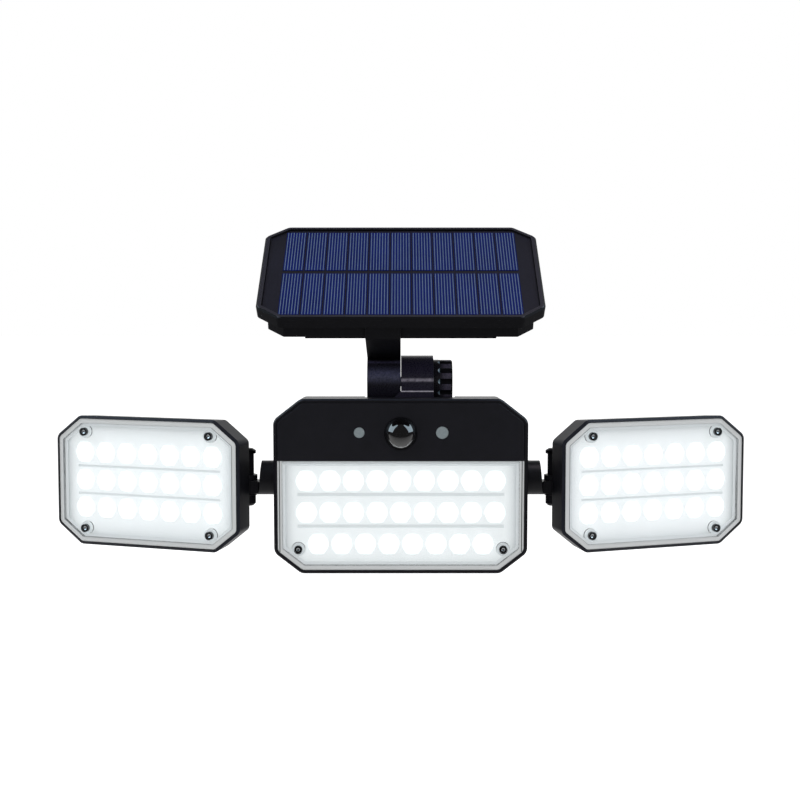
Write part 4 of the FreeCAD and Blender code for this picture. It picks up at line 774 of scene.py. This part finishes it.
def grown(name, tree, places, values, matrix, smooth=True):
    """Runs a tree on points at the places (x, depth, z), and makes its result one plain mesh.

    values are the tree's inputs by name. The matrix moves the result into the frame.
    """
    seed = link(name + "_points", mesh_from(name + "_points", [Vector(p) for p in places], []))
    modifier = seed.modifiers.new("Repeat", "NODES")
    modifier.node_group = tree
    inputs = [item for item in tree.interface.items_tree if item.in_out == "INPUT"]
    identifiers = {item.name: item.identifier for item in inputs}
    for label, value in values.items():
        modifier[identifiers[label]] = value
    bpy.context.view_layer.update()
    graph = bpy.context.evaluated_depsgraph_get()
    mesh = bpy.data.meshes.new_from_object(seed.evaluated_get(graph))
    mesh.name = name
    mesh.transform(matrix)
    if not smooth:
        mesh.polygons.foreach_set("use_smooth", [False] * len(mesh.polygons))
    bpy.data.objects.remove(seed)
    return link(name, mesh)


def template(name, points, faces, second_faces=()):
    """A part for a tree to repeat, with the faces marked that take the second finish."""
    mesh = mesh_from(name, points, faces)
    mark = mesh.attributes.new("second", "BOOLEAN", "FACE")
    mark.data.foreach_set("value", [i in second_faces for i in range(len(mesh.polygons))])
    mesh.set_sharp_from_angle(angle=math.radians(SMALL_PART_SHARP_DEGREES))
    return link(name, mesh)


# ---- lamp parts ----
def lens_outline(angle, radius):
    """The lens's front is six-sided, with its left and right corners cut off. Its foot is round."""
    if radius < LENS_ROUND_REACH or radius == LENS_RADIUS:
        return 1.0
    sector = angle % (math.pi / 3) - math.pi / 6
    six_sided = 1 - LENS_FLATNESS + LENS_FLATNESS * LENS_FLAT / math.cos(sector)
    return min(six_sided, LENS_CUT / max(abs(math.cos(angle)), 0.1))


def lens_part():
    """Round foot, and a six-sided front with a bevelled rim and a low dome, wider than its hole."""
    reach = LENS_LIP_RADIUS - LENS_BEVEL
    edge = LENS_LIP_FRONT - LENS_BEVEL_DEPTH
    rings = [
        (LENS_HOLLOW, LENS_BASE),
        (LENS_RADIUS, LENS_BASE),
        (LENS_RADIUS, LENS_LIP_BACK),
        (LENS_LIP_RADIUS, LENS_LIP_BACK),
        (LENS_LIP_RADIUS, LENS_LIP_FRONT),
        (reach, edge),
    ]
    for i in range(1, LENS_DOME_STEPS):
        angle = math.pi / 2 * i / LENS_DOME_STEPS
        depth = LENS_APEX + (edge - LENS_APEX) * (1 - math.sin(angle))
        rings.append((reach * math.cos(angle), depth))
    rings.append((LENS_CENTRE, LENS_APEX))
    first, last = LENS_RIM_RINGS
    rim = set(range(LENS_SIDES * first, LENS_SIDES * last))
    return template("lens_part", *turned(rings, LENS_SIDES, lens_outline), rim)


def screw_part(bright_floor):
    """Pan head with a six-lobed recess, on a plain shank.

    The recess takes the bright finish as a painted highlight, with or without its floor.
    """

    def lobes(angle, radius):
        return 1.0 + LOBE_SWELL * math.cos(LOBES * angle) if radius < LOBE_REACH else 1.0

    low = SCREW_TOP + SCREW_HEAD_HEIGHT
    tip = low + SCREW_LENGTH
    rings = [
        (SHANK_TIP_RADIUS, tip),
        (SHANK_RADIUS, tip - SHANK_TIP_LENGTH),
        (SHANK_RADIUS, low),
        (SCREW_HEAD_RADIUS, low),
    ]
    rings += [(radius, SCREW_TOP + depth) for radius, depth in SCREW_PROFILE]
    points, faces = turned(rings, SCREW_SIDES, lobes)
    first, last = BRIGHT_RINGS
    end = len(faces) if bright_floor else SCREW_SIDES * last
    return template("screw_part", points, faces, set(range(SCREW_SIDES * first, end)))


def lamp_places(rows, pitch, middle):
    """Where the lenses stand. A row is (height, count)."""
    return [
        (middle + (i - (count - 1) / 2) * pitch, 0.0, z)
        for z, count in rows
        for i in range(count)
    ]


def lamp_parts(side, matrix, places, screws, screw, screw_slot):
    """The lit lenses and the screws of one head."""
    lenses = grown(
        side + "_lit_lenses",
        PART_AT_POINTS,
        places,
        {"Part": LENS, "Size": 1.0, "Finish": lit_acrylic, "Second Finish": lit_rim},
        matrix,
    )
    stand_in(lenses, "lit_lens", side + "_lenses")
    heads = grown(
        side + "_pan_screws",
        PART_AT_POINTS,
        [(x, 0.0, z) for x, z in screws],
        {"Part": screw, "Size": 1.0, "Finish": black_oxide, "Second Finish": stainless_and_glint},
        matrix,
    )
    stand_in(heads, screw_slot, side + "_cover_screws")


# ---- clear covers ----
def cover_faces(matrix, screws):
    """Chooses a cover face's finish.

    0 is the window, 1 the flange, 2 the step, 3 a screw boss or the back edge, the last three with a
    painted glow, and 4 a boss's hole, painted dark as shade.
    """
    back = matrix.inverted()

    def choose(centre):
        local = back @ centre
        near = min(math.hypot(local.x - x, local.z - z) for x, z in screws)
        if BOSS_HOLE[0] < near < BOSS_HOLE[1] and HOLE_DEPTHS[0] < local.y < HOLE_DEPTHS[1]:
            return 4
        if local.y > (STEP_BACK if near < BOSS_REACH else COVER_BACK):
            return 3
        if local.y > STEP_BACK or local.y < STEP_FRONT:
            return 0
        return 1 if local.y > FLANGE_FRONT else 2

    return choose


def clear_window(side, matrix, screws):
    """One head's cover, with the finishes that cover_faces chooses from."""
    cover = softened(
        side + "_clear_cover",
        side + "_cover",
        COVER_EDGE,
        clear_cover,
        cover_flange,
        cover_step,
        cover_boss,
        boss_hole_shade,
        choose=cover_faces(matrix, screws),
    )
    stand_in(cover, "clear_cover", side + "_cover")


# ---- lit reflectors ----
def lit_well(side, matrix, places):
    """The reflector's finish, with a painted glow round the lenses that fades towards the window's
    edges.
    """
    material = pale_abs(side + "_pale_abs_reflector", 0.0)
    tree = material.node_tree
    back = matrix.inverted()
    local = add(
        tree,
        "ShaderNodeMapping",
        {
            "Vector": node_of(tree, "TEX_COORD").outputs["Object"],
            "Location": back.to_translation(),
            "Rotation": back.to_euler(),
            "Scale": back.to_scale(),
        },
    )
    axes = add(tree, "ShaderNodeSeparateXYZ", {0: local.outputs[0]}).outputs
    fades = []
    for axis, index, fading in (("X", 0, GLOW_BESIDE), ("Z", 2, GLOW_ABOVE)):
        values = [place[index] for place in places]
        middle = (min(values) + max(values)) / 2
        half = (max(values) - min(values)) / 2 + LENS_RADIUS
        fade = add(
            tree,
            "ShaderNodeMapRange",
            {
                "Value": away_from(tree, axes[axis], middle),
                "From Min": half - GLOW_INSIDE,
                "From Max": half + fading,
                "To Min": 1.0,
                "To Max": 0.0,
            },
            interpolation_type="SMOOTHSTEP",
        )
        fades.append(fade.outputs[0])
    both = add(tree, "ShaderNodeMath", {0: fades[0], 1: fades[1]}, operation="MULTIPLY")
    strength = add(tree, "ShaderNodeMath", {0: both.outputs[0], 1: GLOW}, operation="MULTIPLY")
    shines = node_of(tree, "BSDF_PRINCIPLED").inputs["Emission Strength"]
    tree.links.new(strength.outputs[0], shines)
    return material


def light_well(side, matrix, places):
    """One head's reflector, with a weaker painted glow in the grooves between its rows of lenses."""
    back = matrix.inverted()

    def choose(centre):
        depth = (back @ centre).y
        return 1 if WELL_FRONT + DEPTH_SLACK < depth < GROOVE_FLOOR + DEPTH_SLACK else 0

    well = softened(
        side + "_light_well",
        side + "_reflector",
        WELL_EDGE,
        lit_well(side, matrix, places),
        pale_groove,
        choose=choose,
    )
    stand_in(well, "pale_reflector", side + "_reflector")


LENS = lens_part()
SCREW = screw_part(False)
BRIGHT_SCREW = screw_part(True)
MAIN_LAMPS = lamp_places(MAIN_ROWS, MAIN_PITCH, 0.0)
LEFT_LAMPS = lamp_places(SIDE_ROWS, SIDE_PITCH, -SIDE_LAMP_OUTSET)
RIGHT_LAMPS = lamp_places(SIDE_ROWS, SIDE_PITCH, SIDE_LAMP_OUTSET)
# Name, matrix, places of the lenses and the screws, screw, and the screws' slot.
HEADS = (
    ("main", MAIN, MAIN_LAMPS, MAIN_SCREWS, SCREW, "dark_screw"),
    ("left", LEFT, LEFT_LAMPS, LEFT_SCREWS, BRIGHT_SCREW, "bright_screw"),
    ("right", RIGHT, RIGHT_LAMPS, RIGHT_SCREWS, BRIGHT_SCREW, "bright_screw"),
)
for side, matrix, places, screws, screw, screw_slot in HEADS:
    lamp_parts(side, matrix, places, screws, screw, screw_slot)
    clear_window(side, matrix, screws)
    light_well(side, matrix, places)
for part in (LENS, SCREW, BRIGHT_SCREW):
    bpy.data.objects.remove(part)

# ---- rigid mouldings: copies with their edges rounded ----
# Piece, CAD node, edge, finish, and slot.
MOULDINGS = (
    ("battery_lid", "rear_cover", 0.3, black_abs, "black_abs"),
    ("wall_bracket", "wall_plate", 0.4, black_abs, "black_abs"),
    ("front_plate", "sensor_fascia", 0.15, grained_abs, "grained_black_abs"),
    ("panel_base", "panel_tray", 0.4, shaded_matt_abs, "black_abs"),
    ("panel_backing", "solar_laminate", 0.2, cell_backing, "cell_backing"),
    ("left_swivel_arm", "left_arm", 0.25, black_abs, "black_abs"),
    ("right_swivel_arm", "right_arm", 0.25, black_abs, "black_abs"),
    ("left_ratchet", "left_detent_ring", 0.1, black_abs, "black_abs"),
    ("right_ratchet", "right_detent_ring", 0.1, black_abs, "black_abs"),
    ("left_cap_screw", "left_pivot_screw", 0.25, black_oxide, "dark_screw"),
    ("right_cap_screw", "right_pivot_screw", 0.25, black_oxide, "dark_screw"),
    ("push_button", "mode_button", 0.4, button_rubber, "button_rubber"),
    ("hinge_bolt_piece", "hinge_bolt", 0.2, zinc, "zinc_steel"),
    ("hinge_washer_piece", "hinge_washer", 0.1, zinc, "zinc_steel"),
)
for piece_name, node, edge, material, slot in MOULDINGS:
    stand_in(softened(piece_name, node, edge, material), slot, node)


def main_shell_faces(centre):
    """The housing's knuckle, right of its middle, has painted highlights. Its top front bevel is
    painted lighter as a highlight.
    """
    if centre.z > KNUCKLE_LOW * MM:
        return 1 if centre.x > 0.0 else 0
    depth = centre.y / MM - FRONT_Y
    return 2 if centre.z > MAIN_TOP_BEVEL * MM and BEVEL[0] < depth < BEVEL[1] else 0


def side_shell_faces(matrix):
    """Chooses the front bevel and the cut upper corners of a side head's shell, which take the painted
    highlight.
    """
    back = matrix.inverted()

    def choose(centre):
        local = back @ centre
        corner = abs(local.x) > SIDE_CORNER[0] and local.z > SIDE_CORNER[1]
        return 1 if corner or BEVEL[0] < local.y < BEVEL[1] else 0

    return choose


def arm_faces(centre):
    """The panel's arm takes the matt finish, painted darker as shade, above its knuckle."""
    return 1 if centre.z > ARM_LOW * MM else 0


def knob_faces(centre):
    """The flutes lie deeper than the ridges between them and are painted darker as shade; they begin in
    scoops painted with a glint.
    """
    reach = math.hypot(centre.y - HINGE[1] * MM, centre.z - HINGE[2] * MM)
    if reach > (KNOB_RADIUS - KNOB_RIDGE) * MM:
        return 0
    return 2 if centre.x < KNOB_SCOOP * MM and reach > KNOB_CORE * MM else 1


def rim_faces(centre):
    """The rim's top is painted lighter than its sides, as a highlight."""
    return 1 if (PANEL.inverted() @ centre).y < RIM_TOP else 0


# Piece, CAD node, edge, finishes, and what chooses between them.
MIXED_MOULDINGS = (
    ("main_shell", "main_housing", 0.3, (black_abs, fixed_knuckle_abs, bevel_highlight_abs), main_shell_faces),
    ("left_shell", "left_housing", 0.3, (black_abs, side_bevel_highlight_abs), side_shell_faces(LEFT)),
    ("right_shell", "right_housing", 0.3, (black_abs, side_bevel_highlight_abs), side_shell_faces(RIGHT)),
    ("hinge_arm", "panel_arm", 0.35, (moving_knuckle_abs, shaded_matt_abs), arm_faces),
    ("fluted_knob", "clamp_knob", 0.15, (knob_abs, flute_shade_abs, scoop_glint_abs), knob_faces),
    ("panel_rim", "panel_frame", 0.3, (shaded_matt_abs, rim_highlight_abs), rim_faces),
)
for piece_name, node, edge, finishes, choose in MIXED_MOULDINGS:
    stand_in(softened(piece_name, node, edge, *finishes, choose=choose), "black_abs", node)

# ---- nodes that keep their CAD shape ----
SEALS = (
    "main_gasket", "left_gasket", "right_gasket", "panel_gasket", "left_arm_seal", "right_arm_seal"
)
KEPT = (
    (stainless_and_glint, ("plate_lock_screw", "rear_cover_screws", "panel_screws")),
    (nickel, ("sensor_can",)),
    (glass_epoxy, ("control_board",)),
    (pvc_sleeve, ("battery_cells",)),
    (black_abs, ("battery_cradle", "mode_switch")),
    (seal_rubber, SEALS),
    (zinc, ("left_arm_clip", "right_arm_clip")),
    (brass, ("knob_insert",)),
    (white_solder_mask, ("main_lamp_board", "left_lamp_board", "right_lamp_board")),
    (phosphor, ("main_lamp_chips", "left_lamp_chips", "right_lamp_chips")),
)
for material, names in KEPT:
    for node in names:
        dress(nodes[node], material)


# ---- sensor dome and windows ----
def sensor_dome():
    """Polished dome with its thin wall and flange."""
    sphere = (DOME_LIP_RADIUS**2 + DOME_REACH**2) / (2 * DOME_REACH)
    front, back = (DOME_BASE + depth for depth in DOME_FLANGE)
    rings = [
        (DOME_BORE, back),
        (DOME_FLANGE_RADIUS, back),
        (DOME_FLANGE_RADIUS, front),
        (DOME_RADIUS, front),
        (DOME_RADIUS, DOME_LIP_BACK),
        (DOME_LIP_RADIUS, DOME_LIP_BACK),
    ]
    full = math.acos((sphere - DOME_REACH) / sphere)
    for i in range(DOME_STEPS):
        angle = full * (1 - i / DOME_STEPS)
        rings.append((sphere * math.sin(angle), sphere * (1 - math.cos(angle)) - DOME_REACH))
    rings.append((DOME_TIP, -DOME_REACH))
    points, faces = turned(rings, DOME_SIDES)
    mesh = mesh_from("polished_dome", points, faces, MAIN @ Matrix.Translation((0, 0, SENSOR_Z)))
    mesh.set_sharp_from_angle(angle=math.radians(TURNED_SHARP_DEGREES))
    dome = dress(link("polished_dome", mesh), smoked_polycarbonate)
    stand_in(dome, "smoked_lens", "sensor_dome")


def window(name, node, plug):
    """Frosted plug with shallow rings in its face."""
    x, radius, ridges = plug
    face = radius - PLUG_FACE
    rings = [
        (PLUG_TIP, PLUG_BACK),
        (radius + PLUG_RIM, PLUG_BACK),
        (radius + PLUG_RIM, PLUG_RIM_FRONT),
        (radius, PLUG_RIM_FRONT),
        (radius, PLUG_SHOULDER),
        (face, PLUG_FACE),
    ]
    step = (radius - PLUG_SHOULDER) / (ridges * 2)
    for i in range(ridges * 2):
        rings.append((face - step * (i + FIRST_RIDGE), PLUG_FACE if i % 2 else RIDGE_FLOOR))
    points, faces = turned(rings, PLUG_SIDES)
    mesh = mesh_from(name, points, faces, MAIN @ Matrix.Translation((x, 0, WINDOW_Z)))
    mesh.set_sharp_from_angle(angle=math.radians(TURNED_SHARP_DEGREES))
    stand_in(dress(link(name, mesh), frosted_acrylic), "grey_diffuser", node)


sensor_dome()
window("light_sensor_lens", "light_sensor_window", LIGHT_SENSOR)
window("indicator_lens", "indicator_window", INDICATOR)


# ---- solar cells ----
def cell_places(depth):
    """The cells' centres, in two rows across the panel."""
    front = CELL_FRONT_BORDER - PANEL_LENGTH / 2 + CELL_ROW_LENGTH / 2
    rows = (front, front + CELL_ROW_LENGTH + CELL_ROW_GAP)
    middle = (CELL_COLUMNS - 1) / 2
    return [((i - middle) * CELL_PITCH, depth, z) for z in rows for i in range(CELL_COLUMNS)]


def bars(name, depth, size, count, pitch, material):
    """On every cell, count bars of a size side by side."""
    return grown(
        name,
        BARS_AT_POINTS,
        cell_places(depth),
        {"Bar": size, "Bars": count, "Pitch": pitch, "Finish": material},
        PANEL,
        smooth=False,
    )


cell_width = CELL_PITCH - CELL_GAP
wafer_height = CELL_THICKNESS - FINGER_HEIGHT
wafers = bars(
    "silicon_cells",
    CELL_TOP + FINGER_HEIGHT + wafer_height / 2,
    (cell_width, wafer_height, CELL_ROW_LENGTH),
    1,
    0.0,
    silicon,
)
stand_in(wafers, "solar_cell", "solar_cells")
fingers = bars(
    "silver_fingers",
    CELL_TOP + FINGER_HEIGHT / 2,
    (FINGER_WIDTH, FINGER_HEIGHT, CELL_ROW_LENGTH - FINGER_SHORT),
    FINGERS,
    cell_width / FINGERS,
    silver_paste,
)
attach(fingers, "solar_panel")


# ---- trim that the solids leave out ----
def cover_bead():
    """Thin beads in the main cover's flange, down its two straight sides, painted dark as shade."""
    outer = MAIN_WIDTH / 2 - BEAD_INSET
    inner = outer - BEAD_WIDTH
    section = [(outer, BEAD_FRONT), (outer, BEAD_BACK), (inner, BEAD_BACK), (inner, BEAD_FRONT)]
    points = []
    faces = []
    for side in (-1, 1):
        start = len(points)
        points += [(side * x, depth, z) for z in (BEAD_LOW, BEAD_HIGH) for x, depth in section]
        sides = [(i, (i + 1) % 4, 4 + (i + 1) % 4, 4 + i) for i in range(4)]
        for face in sides + [(3, 2, 1, 0), (4, 5, 6, 7)]:
            faces.append([start + i for i in (face if side > 0 else face[::-1])])
    mesh = mesh_from("main_cover_bead", points, faces, MAIN, smooth=False)
    bead = dress(link("main_cover_bead", mesh), cover_bead_shade)
    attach(bead, "main_head")


def well_lip():
    """The reflector's bent top edge, which closes the gap behind the window's top."""
    high = MAIN_COVER_TOP - WELL_LIP_DROP
    half = MAIN_WIDTH / 2 - WELL_LIP_INSET
    section = [(WELL_LIP_BEND[-1][0], high), (WELL_LIP_BEND[0][0], high)]
    section += [(depth, WELL_TOP + rise) for depth, rise in WELL_LIP_BEND]
    points = [(side * half, depth, z) for side in (1, -1) for depth, z in section]
    count = len(section)
    faces = [(i, (i + 1) % count, count + (i + 1) % count, count + i) for i in range(count)]
    faces += [tuple(range(count))[::-1], tuple(range(count, 2 * count))]
    mesh = mesh_from("main_light_well_lip", points, faces, MAIN, smooth=False)
    lip = dress(link("main_light_well_lip", mesh), pale_lip)
    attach(lip, "main_head")


cover_bead()
well_lip()

# ---- stage, camera and light, in metres ----
FLOOR_Z = -0.32
FLOOR_REACH = 6.4
FLOOR_NEAR = -0.9
FLOOR_FADE_END = -0.1
FLOOR_MIRRORED = (0.15, 0.75)
FLOOR_LIFT = 0.8
WORLD_BEHIND = (0.2, 0.75)
WORLD_LOW = (0.75, 0.35)
WORLD_LEVEL = 0.55
WORLD_MIRRORED = 0.07


def white_where_seen(tree, rays):
    """1 where the camera looks at a surface, also through clear plastic."""
    seen = add(
        tree,
        "ShaderNodeMath",
        {0: rays["Is Camera Ray"], 1: rays["Is Transmission Ray"]},
        operation="MAXIMUM",
    )
    return seen.outputs[0]


def pale_floor():
    """Pale floor a step below the light.

    Seen from above it shines white, and gloss mirrors it dimmer near the front. From below it is clear.
    """
    material = bpy.data.materials.new("pale_floor")
    material.use_nodes = True
    tree = material.node_tree
    tree.nodes.clear()
    rays = add(tree, "ShaderNodeLightPath").outputs
    below = add(tree, "ShaderNodeNewGeometry").outputs["Backfacing"]
    coords = add(tree, "ShaderNodeTexCoord").outputs["Object"]
    axes = add(tree, "ShaderNodeSeparateXYZ", {0: coords}).outputs
    near = add(
        tree,
        "ShaderNodeMapRange",
        {
            "Value": axes["Y"],
            "From Min": FLOOR_NEAR,
            "From Max": FLOOR_FADE_END,
            "To Min": FLOOR_MIRRORED[0],
            "To Max": FLOOR_MIRRORED[1],
        },
    )
    mirrored = add(
        tree,
        "ShaderNodeMath",
        {0: near.outputs[0], 1: rays["Is Glossy Ray"]},
        operation="MULTIPLY",
    )
    grey = add(
        tree,
        "ShaderNodeMix",
        {0: rays["Is Glossy Ray"], 6: paint("#e6e6e6"), 7: paint("#202020")},
        data_type="RGBA",
    )
    seen = add(
        tree,
        "ShaderNodeMath",
        {0: white_where_seen(tree, rays), 1: FLOOR_LIFT},
        operation="MULTIPLY",
    )
    lift = add(
        tree,
        "ShaderNodeMath",
        {0: seen.outputs[0], 1: mirrored.outputs[0]},
        operation="MAXIMUM",
    )
    matt = add(
        tree,
        "ShaderNodeBsdfPrincipled",
        {
            "Base Color": grey.outputs[2],
            "Roughness": 0.9,
            "Specular IOR Level": 0.0,
            "Emission Color": paint("#ffffff"),
            "Emission Strength": lift.outputs[0],
        },
    )
    clear = add(tree, "ShaderNodeBsdfTransparent")
    both = add(tree, "ShaderNodeMixShader", {0: below, 1: matt.outputs[0], 2: clear.outputs[0]})
    add(tree, "ShaderNodeOutputMaterial", {"Surface": both.outputs[0]})
    half = FLOOR_REACH / 2
    plan = ((-half, FLOOR_NEAR), (half, FLOOR_NEAR), (half, FLOOR_REACH), (-half, FLOOR_REACH))
    corners = [(x, y, FLOOR_Z) for x, y in plan]
    floor = link("floor", mesh_from("floor", corners, [(0, 1, 2, 3)], smooth=False))
    dress(floor, material)


def studio_world():
    """Plain grey light all round. The background is white, also mirrored low behind the object."""
    world = bpy.data.worlds.new("studio")
    world.use_nodes = True
    tree = world.node_tree
    tree.nodes.clear()
    rays = add(tree, "ShaderNodeLightPath").outputs
    direction = add(tree, "ShaderNodeTexCoord").outputs["Generated"]
    axes = add(tree, "ShaderNodeSeparateXYZ", {0: direction}).outputs
    behind = add(
        tree,
        "ShaderNodeMapRange",
        {"Value": axes["Y"], "From Min": WORLD_BEHIND[0], "From Max": WORLD_BEHIND[1]},
    )
    low = add(
        tree,
        "ShaderNodeMapRange",
        {"Value": axes["Z"], "From Min": WORLD_LOW[0], "From Max": WORLD_LOW[1]},
    )
    low_behind = add(
        tree,
        "ShaderNodeMath",
        {0: behind.outputs[0], 1: low.outputs[0]},
        operation="MULTIPLY",
    )
    mirrored = add(
        tree,
        "ShaderNodeMath",
        {0: low_behind.outputs[0], 1: rays["Is Glossy Ray"]},
        operation="MULTIPLY",
    )
    seen = add(
        tree,
        "ShaderNodeMath",
        {0: white_where_seen(tree, rays), 1: mirrored.outputs[0]},
        operation="MAXIMUM",
    )
    dim = add(
        tree,
        "ShaderNodeMapRange",
        {"Value": rays["Is Glossy Ray"], "To Min": WORLD_LEVEL, "To Max": WORLD_MIRRORED},
    )
    level = add(
        tree,
        "ShaderNodeMix",
        {0: seen.outputs[0], 2: dim.outputs[0], 3: 1.0},
        data_type="FLOAT",
    )
    light = add(
        tree,
        "ShaderNodeBackground",
        {"Color": paint("#ffffff"), "Strength": level.outputs[0]},
    )
    add(tree, "ShaderNodeOutputWorld", {"Surface": light.outputs[0]})
    bpy.context.scene.world = world


def softbox(name, place, size, radiance, colour, mirrored):
    """Area light aimed at the sensor. radiance is how bright its face looks, 1 being white.

    A mirrored one only shows in gloss, and the others only light the surfaces.
    """
    data = bpy.data.lights.new(name, "AREA")
    data.shape = "RECTANGLE"
    data.size, data.size_y = size
    data.energy = radiance * math.pi * size[0] * size[1]
    data.color = paint(colour)[:3]
    lamp = bpy.data.objects.new(name, data)
    bpy.context.scene.collection.objects.link(lamp)
    lamp.location = place
    aim = Vector((0.0, (FRONT_Y - DOME_REACH) * MM, SENSOR_Z * MM))
    lamp.rotation_euler = (aim - Vector(place)).to_track_quat("-Z", "Y").to_euler()
    lamp.visible_glossy = mirrored
    lamp.visible_diffuse = not mirrored


pale_floor()
studio_world()
# Name, place, size, radiance, colour, and whether it only shows in gloss.
SOFTBOXES = (
    ("left_light", (-1.0, 0.0, 0.75), (0.9, 0.9), 3.2, "#f2f6ff", False),
    ("right_light", (1.0, 0.0, 0.75), (0.9, 0.9), 3.2, "#f6f4ff", False),
    ("front_light", (0.0, -1.6, 1.1), (1.6, 1.2), 1.5, "#ffffff", False),
    ("left_gleam", (-0.957, -0.227, 0.763), (1.28, 1.35), 3.0, "#daf1ff", True),
    ("right_gleam", (0.957, -0.227, 0.763), (1.28, 1.35), 3.0, "#daf1ff", True),
    ("top_gleam", (0.27, -0.18, 1.2), (0.55, 0.4), 3.5, "#ffeef8", True),
)
for box in SOFTBOXES:
    softbox(*box)

# The camera stands where the photograph's perspective puts it, and looks a little down.
CAMERA_PLACE = (0.0, -0.9264, 0.1392)
CAMERA_PITCH_DEGREES = 84.0
FOCAL_LENGTH = 67.67
FILM_WIDTH = 36.0
FILM_SHIFT = (-0.0009, 0.0004)

camera_data = bpy.data.cameras.new("camera")
camera_data.lens = FOCAL_LENGTH
camera_data.sensor_width = FILM_WIDTH
camera_data.shift_x, camera_data.shift_y = FILM_SHIFT
camera = bpy.data.objects.new("camera", camera_data)
bpy.context.scene.collection.objects.link(camera)
camera.location = CAMERA_PLACE
camera.rotation_euler = (math.radians(CAMERA_PITCH_DEGREES), 0.0, 0.0)
bpy.context.scene.camera = camera
bpy.context.scene.view_settings.view_transform = "Standard"
